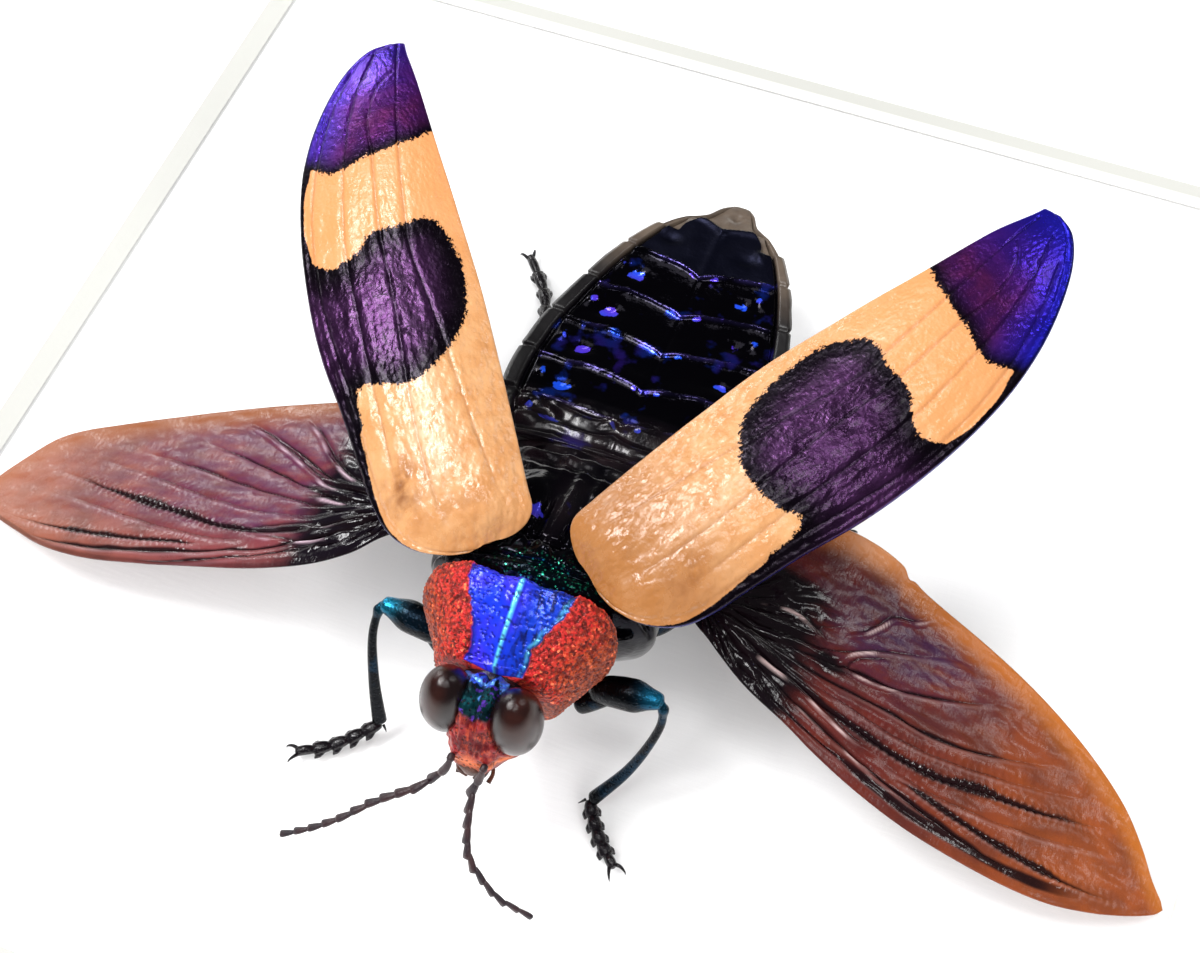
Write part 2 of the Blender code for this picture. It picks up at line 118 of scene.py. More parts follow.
def points_along(points, count):
    """Space points evenly on a smooth curve through the given points."""
    knots = np.array(points, dtype=float)
    ends = np.vstack([2 * knots[0] - knots[1], knots, 2 * knots[-1] - knots[-2]])
    dense = []
    for i in range(1, len(ends) - 2):
        before, start, end, after = ends[i - 1:i + 3]
        for t in np.linspace(0, 1, 12, endpoint=False):
            dense.append(0.5 * (2 * start + (end - before) * t
                                + (2 * before - 5 * start + 4 * end - after) * t ** 2
                                + (3 * start - before - 3 * end + after) * t ** 3))
    dense = np.array(dense + [knots[-1]])
    steps = np.linalg.norm(np.diff(dense, axis=0), axis=1)
    lengths = np.concatenate([[0], np.cumsum(steps)])
    places = np.linspace(0, lengths[-1], count)
    return np.stack([np.interp(places, lengths, dense[:, axis])
                     for axis in range(dense.shape[1])], axis=1)


def wrinkles(x, y, seed):
    """Lattice noise from -1 to 1, with one wave for each unit of x and y."""
    table = np.random.default_rng(seed).uniform(-1, 1, (128, 128))
    cell_x = np.floor(x).astype(int)
    cell_y = np.floor(y).astype(int)
    t = x - cell_x
    s = y - cell_y
    t = t * t * (3 - 2 * t)
    s = s * s * (3 - 2 * s)
    low = table[cell_x % 128, cell_y % 128] * (1 - t) + table[(cell_x + 1) % 128, cell_y % 128] * t
    high = (table[cell_x % 128, (cell_y + 1) % 128] * (1 - t)
            + table[(cell_x + 1) % 128, (cell_y + 1) % 128] * t)
    return low * (1 - s) + high * s


def held(value):
    """Hold a value between 0 and 1."""
    return np.clip(value, 0, 1)


def hill(distance, width):
    """A rounded hill, 1 high at its middle."""
    return np.exp(-(distance / width) ** 2)


print("noise at a test point:", round(float(wrinkles(np.array(0.5), np.array(0.5), 1)), 3))

# %% [markdown]
# Distances to lines and outlines
#
# Ribs, veins and colour bands are lines drawn on the wings. The mesh stores how far each of its
# points is from such a line. That distance shapes the rib or the vein, and the material reads
# it too, so that colour and relief stay together.

# %% Measure distances on a surface


def to_line(spots, line):
    """Distance from each spot to a line, the length along it to that place, and its side."""
    best = np.full(len(spots), 1e9)
    place = np.zeros(len(spots))
    hand = np.ones(len(spots))
    passed = 0.0
    for start, end in zip(line[:-1], line[1:]):
        step = end - start
        length = np.linalg.norm(step)
        share = held((spots - start) @ step / length ** 2)
        reach = spots - start - share[:, None] * step
        gap = np.linalg.norm(reach, axis=1)
        nearer = gap < best
        best[nearer] = gap[nearer]
        place[nearer] = passed + share[nearer] * length
        hand[nearer] = np.sign(step[0] * reach[nearer, 1] - step[1] * reach[nearer, 0])
        passed += length
    return best, place, hand


def inside(spots, outline):
    """Distance from each spot to a closed outline, positive inside it."""
    closed = np.vstack([outline, outline[:1]])
    gap = to_line(spots, closed)[0]
    within = np.zeros(len(spots), dtype=bool)
    for (x0, y0), (x1, y1) in zip(closed[:-1], closed[1:]):
        if y0 == y1:
            continue
        between = (spots[:, 1] > min(y0, y1)) & (spots[:, 1] <= max(y0, y1))
        crossing = x0 + (spots[:, 1] - y0) / (y1 - y0) * (x1 - x0)
        within ^= between & (spots[:, 0] < crossing)
    return np.where(within, gap, -gap)


square = np.array([(0, 0), (2, 0), (2, 2), (0, 2)], dtype=float)
print("the middle of a 2 mm square lies", inside(np.array([[1.0, 1.0]]), square)[0], "mm inside")

# %% [markdown]
# Mesh makers
#
# Three forms make nearly the whole insect. A shell is a sheet with a rounded rim, for the wings.
# A loft is a stack of rings that ends in two points, for the body. A tube is a loft that follows
# a path, for legs and feelers. All of them start as grids of points, because detail can be added
# to a grid by moving its points along their normals.

# %% Grids, shells and lofts


def grid_normals(grid, wrap=False):
    """Unit normals of a grid of points. With wrap its columns close into rings."""
    down = np.gradient(grid, axis=0)
    if wrap:
        across = (np.roll(grid, -1, axis=1) - np.roll(grid, 1, axis=1)) / 2
    else:
        across = np.gradient(grid, axis=1)
    normals = np.cross(down, across)
    return normals / np.maximum(np.linalg.norm(normals, axis=2, keepdims=True), 1e-12)


def upward(grid):
    """Normals of a sheet that point away from the card."""
    normals = grid_normals(grid)
    return -normals if normals[..., 2].mean() < 0 else normals


def quads(indices, wrap=False):
    """Four-cornered faces between the rows and columns of a grid of point numbers."""
    if wrap:
        indices = np.hstack([indices, indices[:, :1]])
    corners = [indices[:-1, :-1], indices[:-1, 1:], indices[1:, 1:], indices[1:, :-1]]
    return np.stack([corner.ravel() for corner in corners], axis=1)


def shell_parts(middle, normals, over, under):
    """A closed shell about a grid, whose two faces meet along its rim."""
    rows, columns = middle.shape[:2]
    upper = np.arange(rows * columns).reshape(rows, columns)
    lower = upper.copy()
    inner = np.arange((rows - 2) * (columns - 2)).reshape(rows - 2, columns - 2)
    lower[1:-1, 1:-1] = rows * columns + inner
    top = (middle + normals * over[..., None]).reshape(-1, 3)
    bottom = (middle - normals * under[..., None])[1:-1, 1:-1].reshape(-1, 3)
    source = np.concatenate([upper.ravel(), upper[1:-1, 1:-1].ravel()])
    faces = np.vstack([quads(upper), quads(lower)[:, ::-1]])
    return np.vstack([top, bottom]), faces.tolist(), source


def loft_parts(rings):
    """A closed body through rings of equal point count, with a point at each end."""
    rows, columns = rings.shape[:2]
    indices = np.arange(rows * columns).reshape(rows, columns)
    points = np.vstack([rings.reshape(-1, 3), rings[0].mean(axis=0), rings[-1].mean(axis=0)])
    faces = quads(indices, wrap=True).tolist()
    for ring, pole in ((indices[0], rows * columns), (indices[-1], rows * columns + 1)):
        faces += [[ring[i], ring[(i + 1) % columns], pole] for i in range(columns)]
    source = np.concatenate([indices.ravel(), [indices[0, 0], indices[-1, 0]]])
    return points, faces, source


def tube_rings(path, widths, heights, columns):
    """Oval rings square to a path, in the path's own units."""
    path = np.asarray(path, dtype=float)
    ahead = np.gradient(path, axis=0)
    ahead /= np.linalg.norm(ahead, axis=1, keepdims=True)
    across = np.cross(ahead, (0.0, 0.0, 1.0))
    across /= np.maximum(np.linalg.norm(across, axis=1, keepdims=True), 1e-6)
    above = np.cross(across, ahead)
    angles = np.linspace(0, 2 * math.pi, columns, endpoint=False)
    widths = np.asarray(widths)[:, None, None]
    heights = np.asarray(heights)[:, None, None]
    return (path[:, None] + across[:, None] * np.cos(angles)[None, :, None] * widths
            + above[:, None] * np.sin(angles)[None, :, None] * heights)


def join_parts(parts):
    """Put several (points, faces) bodies in one list of points and faces."""
    points, faces, start = [], [], 0
    for part_points, part_faces in parts:
        points.append(part_points)
        faces += [[start + i for i in face] for face in part_faces]
        start += len(part_points)
    return np.vstack(points), faces


def at_points(source, **values):
    """Take each mesh point's value from the grids that it was made of."""
    return {label: numbers.ravel()[source] for label, numbers in values.items()}


def new_piece(name, points, faces, material, values=None, uv=None):
    """Make a smooth mesh object from points in metres, with its faces turned outwards."""
    mesh = bpy.data.meshes.new(name)
    mesh.from_pydata(points.tolist(), [], faces)
    work = bmesh.new()
    work.from_mesh(mesh)
    bmesh.ops.recalc_face_normals(work, faces=work.faces)
    work.to_mesh(mesh)
    work.free()
    for label, numbers in (values or {}).items():
        layer = mesh.attributes.new(label, "FLOAT", "POINT")
        layer.data.foreach_set("value", np.asarray(numbers, dtype=np.float32))
    if uv is not None:
        corners = np.empty(len(mesh.loops), dtype=int)
        mesh.loops.foreach_get("vertex_index", corners)
        layer = mesh.uv_layers.new(name="UVMap")
        layer.data.foreach_set("uv", uv[corners].astype(np.float32).ravel())
    mesh.shade_smooth()
    mesh.materials.append(material)
    piece = bpy.data.objects.new(name, mesh)
    bpy.context.scene.collection.objects.link(piece)
    return piece


def fit_piece(piece, slot, *nodes):
    """Hang a finished piece on the frame in place of its plain solids."""
    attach(piece, BODY)
    if nodes:
        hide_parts(*nodes)
    triangles = sum(len(face.vertices) - 2 for face in piece.data.polygons)
    print(piece.name, "has", triangles, "triangles")


print("a 3 by 3 grid has", len(quads(np.arange(9).reshape(3, 3))), "faces")

# %% [markdown]
# Camera, light and floor
#
# The photograph looks down on the beetle's head from the front and a little from its left. A
# long lens is used from close by. A long window-like lamp and a few small ones give soft shadows
# and the sheen on glossy parts. Two broad lamps in front only brighten the shadows: gloss doesn't
# mirror them. The room is dim where gloss mirrors it, so the black parts stay black.

# %% Camera
CAMERA_AZIMUTH = math.radians(21.75)
CAMERA_ELEVATION = math.radians(55.09)
CAMERA_ROLL = math.radians(-0.68)
CAMERA_PLACE = Vector((0.031717, -0.081752, 0.136492))

camera_data = bpy.data.cameras.new("studio_camera")
camera_data.lens = 72
camera_data.sensor_width = 36
camera_data.clip_start = 0.001
camera_data.clip_end = 10
camera = bpy.data.objects.new("studio_camera", camera_data)
bpy.context.scene.collection.objects.link(camera)
camera.matrix_world = (Matrix.Translation(CAMERA_PLACE)
                       @ Matrix.Rotation(CAMERA_AZIMUTH, 4, "Z")
                       @ Matrix.Rotation(math.pi / 2 - CAMERA_ELEVATION, 4, "X")
                       @ Matrix.Rotation(CAMERA_ROLL, 4, "Z"))
bpy.context.scene.camera = camera
bpy.context.scene.view_settings.view_transform = "Standard"
print("the camera stands", round(CAMERA_PLACE.length / MM), "mm from the frame's back")

# %% Lamps and room
LAMP_DISTANCE = 0.66
LAMPS = {
    "window_lamp": ((-0.36, 0.12, 0.92), (0.44, 0.16), 2.6, True),
    "sheen_lamp": ((-0.43, -0.1, 0.9), (0.27, 0.12), 24.0, True),
    "top_lamp": ((0.17, -0.19, 0.96), (0.12, 0.12), 14.0, True),
    "left_lamp": ((-0.78, 0.47, 0.41), (0.36, 0.24), 1.7, True),
    "left_glint": ((-0.72, 0.54, 0.44), (0.07, 0.07), 26.0, True),
    "right_lamp": ((0.5, 0.49, 0.71), (0.1, 0.1), 11.0, True),
    "left_fill": ((-0.5, -0.62, 0.6), (0.4, 0.4), 4.4, False),
    "right_fill": ((0.5, -0.62, 0.6), (0.4, 0.4), 4.4, False),
}
ROOM_FILL = 0.62
ROOM_REFLECTION = 0.09


def add_lamps():
    """Each lamp is given by its direction, size and brightness, and whether gloss shows it."""
    for name, (direction, size, brightness, mirrored) in LAMPS.items():
        lamp_data = bpy.data.lights.new(name, "AREA")
        lamp_data.shape = "RECTANGLE"
        lamp_data.size, lamp_data.size_y = size
        lamp_data.energy = math.pi * size[0] * size[1] * brightness
        lamp = bpy.data.objects.new(name, lamp_data)
        place = Vector(direction).normalized() * LAMP_DISTANCE
        lamp.location = place
        lamp.rotation_euler = place.to_track_quat("Z", "Y").to_euler()
        lamp.visible_glossy = mirrored
        bpy.context.scene.collection.objects.link(lamp)


def add_room():
    """Even light from all round, much dimmer where glossy surfaces mirror the room."""
    room = bpy.data.worlds.new("studio_room")
    room.use_nodes = True
    tree = room.node_tree
    ray = tree.nodes.new("ShaderNodeLightPath")
    strength = tree.nodes.new("ShaderNodeMapRange")
    strength.inputs["To Min"].default_value = ROOM_FILL
    strength.inputs["To Max"].default_value = ROOM_REFLECTION
    tree.links.new(ray.outputs["Is Glossy Ray"], strength.inputs["Value"])
    background = tree.nodes["Background"]
    background.inputs["Color"].default_value = (1.0, 1.0, 1.0, 1.0)
    tree.links.new(strength.outputs["Result"], background.inputs["Strength"])
    bpy.context.scene.world = room


add_lamps()
add_room()
print(len(LAMPS), "lamps and a room that shines", ROOM_FILL)

# %% [markdown]
# Small helpers for materials
#
# A material here is a tree of nodes written out in code. These helpers add a node and link or
# set its inputs in one line, so that a material reads like a recipe. A socket knows its tree, so
# a new node goes into the tree of the socket that feeds it. Colours are written as the 0 to 255
# values that a colour picker shows, and turned into the linear values of the renderer.

# %% Material helpers


def paint(red, green, blue):
    """Turn a colour picker's 0 to 255 values into a linear colour."""
    shares = [channel / 255 for channel in (red, green, blue)]
    return tuple(s / 12.92 if s <= 0.04045 else ((s + 0.055) / 1.055) ** 2.4 for s in shares) + (1.0,)


def wire(source, socket):
    """Link a socket to another, or set its value."""
    if isinstance(source, bpy.types.NodeSocket):
        socket.id_data.links.new(source, socket)
    else:
        socket.default_value = source


def node_beside(kind, *sources):
    """A new node in the tree of the first source that is a socket."""
    socket = next(s for s in sources if isinstance(s, bpy.types.NodeSocket))
    return socket.id_data.nodes.new(kind)


def calculate(operation, first, second, clamp=False):
    """A sum, product or the like of two sockets or numbers."""
    node = node_beside("ShaderNodeMath", first, second)
    node.operation = operation
    node.use_clamp = clamp
    wire(first, node.inputs[0])
    wire(second, node.inputs[1])
    return node.outputs[0]


def times(first, second):
    return calculate("MULTIPLY", first, second)


def plus(first, second):
    return calculate("ADD", first, second)


def minus(first, second, clamp=False):
    return calculate("SUBTRACT", first, second, clamp)


def ramp(value, low, high, start=0.0, end=1.0):
    """Turn low..high into start..end along a smooth step."""
    node = node_beside("ShaderNodeMapRange", value)
    node.interpolation_type = "SMOOTHSTEP"
    for socket, source in zip(node.inputs, (value, low, high, start, end)):
        wire(source, socket)
    return node.outputs[0]


def mix(share, first, second):
    """Blend two colours: a share of 0 gives the first."""
    node = node_beside("ShaderNodeMix", share)
    node.data_type = "RGBA"
    wire(share, node.inputs[0])
    wire(first, node.inputs[6])
    wire(second, node.inputs[7])
    return node.outputs[2]


def noise_at(place, scale, detail=2.0, roughness=0.5):
    node = node_beside("ShaderNodeTexNoise", place)
    wire(place, node.inputs["Vector"])
    wire(scale, node.inputs["Scale"])
    node.inputs["Detail"].default_value = detail
    node.inputs["Roughness"].default_value = roughness
    return node.outputs["Fac"]


def cells_at(place, scale, feature="F1", output="Distance"):
    node = node_beside("ShaderNodeTexVoronoi", place)
    node.feature = feature
    wire(place, node.inputs["Vector"])
    wire(scale, node.inputs["Scale"])
    return node.outputs[output]


def stretched(place, stretch):
    """Scale a place along its three axes."""
    node = node_beside("ShaderNodeMapping", place)
    wire(place, node.inputs["Vector"])
    node.inputs["Scale"].default_value = stretch
    return node.outputs[0]


def stored(tree, name):
    """Read a number that the mesh stores at its points."""
    node = tree.nodes.new("ShaderNodeAttribute")
    node.attribute_name = name
    return node.outputs["Fac"]


def place_in_mm(tree):
    """Object coordinates in millimetres."""
    coordinates = tree.nodes.new("ShaderNodeTexCoord")
    return stretched(coordinates.outputs["Object"], (1 / MM, 1 / MM, 1 / MM))


def sheet_place_in_mm(tree):
    """The UV map in millimetres, for wings: along the wing, then across it."""
    coordinates = tree.nodes.new("ShaderNodeTexCoord")
    return stretched(coordinates.outputs["UV"], (SHEET_UV, SHEET_UV, 1.0))


def relief(shader, height, depth_mm):
    """Send a height into the shader's normal."""
    node = node_beside("ShaderNodeBump", height)
    node.inputs["Distance"].default_value = depth_mm * MM
    wire(height, node.inputs["Height"])
    wire(node.outputs["Normal"], shader.inputs["Normal"])


def finish_with(shader, **sources):
    """Link sources to the shader's inputs, with _ for a space in an input's name."""
    for label, source in sources.items():
        wire(source, shader.inputs[label.replace("_", " ")])


def axes_of(place):
    """The three coordinates of a place."""
    node = node_beside("ShaderNodeSeparateXYZ", place)
    wire(place, node.inputs[0])
    return node.outputs


def new_material(name, **settings):
    """A material, its tree and its shader, with even values set on the shader itself."""
    material = bpy.data.materials.new(name)
    material.use_nodes = True
    shader = material.node_tree.nodes["Principled BSDF"]
    for label, value in settings.items():
        shader.inputs[label.replace("_", " ")].default_value = value
    return material, material.node_tree, shader


SHEET_UV = 40.0
print("a mid grey of 128 is", round(paint(128, 128, 128)[0], 3), "in linear light")

# %% [markdown]
# Effects shared by several materials
#
# Insect cuticle has the same three finishes all over: a fine grain, small pits, and patches of
# painted sheen where the metallic layer would shine brighter. Paper and board share a fibre
# effect. Each one is a node group that gives out only masks and heights, so every material can use
# it with its own values.

# %% Shared effect groups


def new_group(name, inputs, outputs):
    """A shader node group that reads a place and named numbers, with its two ends' sockets."""
    tree = bpy.data.node_groups.new(name, "ShaderNodeTree")
    tree.interface.new_socket(name="Place", in_out="INPUT", socket_type="NodeSocketVector")
    for label, value in inputs.items():
        socket = tree.interface.new_socket(name=label, in_out="INPUT", socket_type="NodeSocketFloat")
        socket.default_value = value
    for label in outputs:
        tree.interface.new_socket(name=label, in_out="OUTPUT", socket_type="NodeSocketFloat")
    return tree, tree.nodes.new("NodeGroupInput").outputs, tree.nodes.new("NodeGroupOutput").inputs


def use_group(tree, group, **sources):
    node = tree.nodes.new("ShaderNodeGroup")
    node.node_tree = group
    for label, source in sources.items():
        wire(source, node.inputs[label])
    return node.outputs


def make_grain_group():
    """Fine grain for relief, and a slow mottle for colour."""
    tree, given, made = new_group("cuticle_grain", {"Scale": 6.0}, ["Height", "Mottle"])
    wire(noise_at(given["Place"], given["Scale"], 3.0), made["Height"])
    slow = noise_at(given["Place"], times(given["Scale"], 0.12), 4.0)
    wire(ramp(slow, 0.3, 0.7), made["Mottle"])
    return tree


def make_pits_group():
    """Round pits: a mask that is 1 in a pit, and the height of the surface."""
    tree, given, made = new_group("cuticle_pits", {"Scale": 4.0, "Size": 0.3}, ["Mask", "Height"])
    gap = cells_at(given["Place"], given["Scale"])
    mask = ramp(gap, given["Size"], times(given["Size"], 0.5))
    wire(mask, made["Mask"])
    wire(minus(1.0, mask), made["Height"])
    return tree


def make_shine_group():
    """Patches of painted sheen, where colour brightens in place of the metallic layer's shine."""
    tree, given, made = new_group("shine_patches", {"Scale": 0.6, "Cover": 0.5}, ["Patch", "Hue"])
    patch = noise_at(given["Place"], given["Scale"], 3.0)
    edge = minus(1.0, given["Cover"])
    wire(ramp(patch, edge, plus(edge, 0.12)), made["Patch"])
    hue = noise_at(given["Place"], times(given["Scale"], 0.6), 2.0)
    wire(ramp(hue, 0.35, 0.65), made["Hue"])
    return tree


def make_fibre_group():
    """Paper and board: a felt of fine fibres, and a faint unevenness of tone."""
    tree, given, made = new_group("paper_fibre", {"Scale": 3.0}, ["Height", "Tone"])
    long_way, cross_way = [
        noise_at(stretched(given["Place"], stretch), given["Scale"], 3.0)
        for stretch in ((1.0, 0.2, 1.0), (0.2, 1.0, 1.0))]
    wire(plus(long_way, cross_way), made["Height"])
    tone = noise_at(given["Place"], times(given["Scale"], 0.05), 3.0)
    wire(ramp(tone, 0.3, 0.7), made["Tone"])
    return tree


def plain_material(name, group, scale, colours, roughness, depth_mm, ior):
    """One effect gives the height, and its second output the colour and the roughness."""
    material, tree, shader = new_material(name, IOR=ior)
    height, unevenness = use_group(tree, group, Place=place_in_mm(tree), Scale=scale)
    finish_with(shader, Base_Color=mix(unevenness, *colours),
                Roughness=ramp(unevenness, 0.0, 1.0, *roughness))
    relief(shader, height, depth_mm)
    return material


grain = make_grain_group()
pits = make_pits_group()
shine = make_shine_group()
fibre = make_fibre_group()
print("shared effects:", ", ".join(group.name for group in (grain, pits, shine, fibre)))

# %% [markdown]
# The wing case's form
#
# An elytron is a hard, vaulted wing case. Its outline is measured in its own flat frame: u runs
# from the inner corner of its base to its apex, and v runs outwards. The middle of the vault is
# raised by a crown, and the outer margin drops. The rim is rounded because the shell's two faces
# meet there.

# %% Wing case outline and vault
ELYTRON_BASE = (1.3, -10.9, 16.4)
ELYTRON_APEX = {1: (20.8, 16.6, 22.3), -1: (20.7, 16.2, 21.6)}
ELYTRON_INNER_BULGE = {1: 1.3, -1: 0.55}
ELYTRON_HALF_WALL = 0.2
ELYTRON_LENGTH = 36.0
ELYTRON_INNER_EDGE = [(-0.85, 2.6), (-0.6, 0.9), (0.2, -0.25), (2.0, -0.4), (6.0, -0.65), (10.0, -0.85),
    (15.0, -0.95), (20.0, -0.6), (25.0, -0.15), (30.0, 0.05), (33.0, 0.15), (34.4, 0.1)]
ELYTRON_OUTER_EDGE = [(-0.9, 3.9), (-0.7, 5.6), (0.1, 7.1), (1.6, 8.2), (3.6, 8.75), (6.2, 9.0),
    (9.5, 9.3), (13.0, 9.7), (16.5, 9.75), (20.8, 9.4), (24.6, 8.7), (27.8, 7.6), (30.5, 6.2),
    (33.0, 4.4), (34.5, 2.6), (34.75, 1.1)]
ELYTRON_INNER_RISE = [(-1, -1.3), (0.4, -0.2), (2, 0.1), (10, 0.45), (17, 0.85), (25, 1.55), (30, 1.35),
    (34.8, 0.0)]
ELYTRON_OUTER_RISE = [(-1, -1.6), (2, -2.2), (6, -1.7), (10, -1.25), (20, -0.9), (26, -0.55), (34.8, 0.0)]
APEX_START = 26.0
THINNING_START = 22.0
THINNING_LENGTH = 3.0
APEX_SHORTENING = {1: 0.0, -1: 0.08}
ELYTRON_CROWN = [(-1, 0.0), (1, 1.1), (5, 1.5), (15, 1.3), (25, 1.0), (34.8, 0.1)]


def elytron_sheet(side, rows, columns):
    """The vault's middle sheet, its (u, v) places and its distances to the four edges."""
    base = np.array(ELYTRON_BASE)
    length_axis = np.array(ELYTRON_APEX[side]) - base
    length_axis /= np.linalg.norm(length_axis)
    cross_axis = np.cross(length_axis, (0, 0, 1))
    cross_axis /= np.linalg.norm(cross_axis)
    face_axis = np.cross(cross_axis, length_axis)
    bulge = ELYTRON_INNER_BULGE[side]
    inner = points_along([(u, v * bulge if v < 0 else v) for u, v in ELYTRON_INNER_EDGE], rows)
    outer = points_along(ELYTRON_OUTER_EDGE, rows)
    for edge in (inner, outer):
        past = np.maximum(edge[:, 0] - APEX_START, 0)
        edge[:, 0] -= APEX_SHORTENING[side] * past
    t = np.linspace(0, 1, columns)[None, :]
    s = np.linspace(0, 1, rows)[:, None]
    uv = inner[:, None] * (1 - t[..., None]) + outer[:, None] * t[..., None]
    u, v = uv[..., 0], uv[..., 1]
    rise = (smooth_values(ELYTRON_INNER_RISE)(u) * (1 - t)
            + smooth_values(ELYTRON_OUTER_RISE)(u) * t
            + smooth_values(ELYTRON_CROWN)(u) * 4 * t * (1 - t))
    middle = (base + u[..., None] * length_axis + v[..., None] * cross_axis + rise[..., None] * face_axis)
    width = np.linalg.norm(outer - inner, axis=1)[:, None]
    to_outer = (1 - t) * width
    to_rim = np.minimum(np.minimum(to_outer, t * width), np.minimum(s, 1 - s) * ELYTRON_LENGTH)
    return middle, uv, to_outer, to_rim


sample = elytron_sheet(1, 40, 12)[0]
print("the left wing case reaches", round(float(sample[..., 2].max()), 1), "mm above the card")

# %% [markdown]
# Ribs, wrinkles and colour bands of the wing case
#
# Four fine furrows run down each wing case and meet near its apex. Between them the cuticle is
# leathery. The dark spot, the dark tip and the dark margin have ragged borders: the outlines
# below are smooth, and the material makes them ragged with noise.

# %% Wing case relief and bands
FURROWS = [
    [(0.9, 1.5), (6.0, 2.1), (12.3, 2.6), (18.0, 3.1), (21.4, 2.8), (25.2, 2.3), (29.1, 1.6),
        (33.6, 0.6)],
    [(0.6, 4.9), (5.2, 5.3), (10.4, 5.1), (15.0, 4.75), (20.0, 4.6), (24.8, 4.0), (27.8, 3.7),
        (30.2, 2.6), (31.2, 1.4)],
    [(3.0, 7.0), (5.3, 7.1), (10.5, 7.1), (16.0, 7.0), (19.5, 6.8), (25.0, 5.8), (29.3, 4.4),
        (33.4, 2.1)],
    [(2.4, 8.0), (6.0, 8.3), (9.5, 8.4), (14.0, 8.8), (18.0, 8.85), (22.0, 8.4), (26.0, 7.3), (29.6, 5.6),
        (32.4, 3.8)],
]
SPOT = {
    1: [(20.8, 9.6), (19.9, 8.8), (19.0, 7.9), (19.2, 7.1), (19.6, 6.3), (20.1, 5.6), (20.1, 4.5),
        (20.0, 3.6), (20.3, 2.6), (20.2, 1.6), (19.4, 1.0), (18.5, 0.4), (16.9, 0.1), (15.0, 0.2),
        (13.3, 0.5), (11.8, 1.0), (10.9, 1.7), (10.2, 2.6), (9.6, 3.6), (9.5, 4.8), (9.65, 5.8),
        (9.9, 6.8), (10.5, 7.4), (10.5, 7.95), (9.3, 8.3), (7.6, 8.6), (8.0, 12.0), (20.8, 12.0)],
    -1: [(20.4, 9.5), (19.3, 8.8), (18.4, 7.8), (18.6, 7.0), (18.9, 6.1), (19.6, 5.5), (19.9, 4.7),
        (19.75, 3.6), (19.9, 2.6), (19.8, 1.5), (19.1, 0.95), (17.8, 0.55), (16.4, 0.35), (14.6, 0.5),
        (13.0, 0.9), (11.8, 1.65), (10.8, 2.5), (9.9, 3.6), (9.4, 4.6), (9.5, 5.6), (9.9, 6.6),
        (10.3, 7.5), (10.1, 7.95), (9.2, 8.2), (7.6, 8.5), (8.0, 12.0), (20.4, 12.0)],
}
TIP_BORDER = [(26.1, -2.0), (25.9, 0.1), (25.5, 1.2), (25.4, 2.2), (25.2, 3.2), (25.2, 4.2), (24.95, 5.2),
    (24.8, 6.2), (25.1, 6.9), (25.9, 7.6), (26.6, 9.0)]
TIP_REST = [(27.0, 12.0), (40.0, 12.0), (40.0, -2.0)]
MARGIN_WIDTH = [(-1, 0.05), (0.2, 0.12), (2, 0.26), (5, 0.5), (8, 0.75), (10, 1.0), (18, 0.9),
    (20.6, 0.5), (22, 0.34), (24, 0.36), (26, 0.6), (35, 0.6)]


def elytron_relief(uv, to_outer):
    """Height of the face above the plain vault, in millimetres."""
    u, v = uv[..., 0], uv[..., 1]
    spots = uv.reshape(-1, 2)
    height = np.zeros(len(spots))
    furrow = np.zeros(len(spots))
    for line in FURROWS:
        path = points_along(line, 50)
        gap, place, _ = to_line(spots, path)
        fade = held(place / 3.0)
        waver = 1 + 0.4 * wrinkles(place * 0.7, gap, 11)
        height += fade * (0.03 * hill(gap - 0.42, 0.3) - 0.07 * waver * hill(gap, 0.11))
        furrow = np.maximum(furrow, fade * hill(gap, 0.08))
    height = height.reshape(u.shape)
    height += 0.030 * wrinkles(u * 0.9, v * 1.7, 21)
    height += 0.018 * wrinkles(u * 2.3 + v * 0.8, v * 4.1, 22)
    height += 0.010 * wrinkles(u * 5.0, v * 8.5 - u, 23)
    base_half = hill(np.maximum(u - 8.0, 0), 4.0)
    height += base_half * 0.035 * wrinkles(u * 2.6 + v, v * 3.4, 24)
    height += base_half * 0.022 * wrinkles(u * 5.5 - v * 2, v * 7.0, 25)
    height += 0.22 * hill(u - 1.9, 1.5) * hill(v - 6.2, 1.1)
    height += 0.25 * hill(u - 1.6, 1.3) * hill(v - 2.4, 1.2)
    height -= 0.16 * hill(u - 1.0, 1.6) * hill(v - 4.3, 0.8)
    height += 0.10 * hill(u - 8.0, 5.0) * hill(v - 3.8, 0.9)
    height -= 0.07 * hill(to_outer - 0.5, 0.14)
    near_apex = held((u - THINNING_START) / THINNING_LENGTH)
    height = np.where(height > 0, height * (1 - near_apex), height)
    return height, furrow.reshape(u.shape)


def elytron_bands(uv, to_outer, side):
    """Distance into the dark colour, positive inside the spot, the tip and the margin."""
    spots = uv.reshape(-1, 2)
    spot = inside(spots, points_along(SPOT[side], 120))
    tip = inside(spots, np.vstack([points_along(TIP_BORDER, 40), TIP_REST]))
    margin = smooth_values(MARGIN_WIDTH)(spots[:, 0]) - to_outer.ravel()
    return np.maximum(np.maximum(spot, tip), margin), tip


print(len(FURROWS), "furrows and", len(SPOT[1]), "points round the left spot")
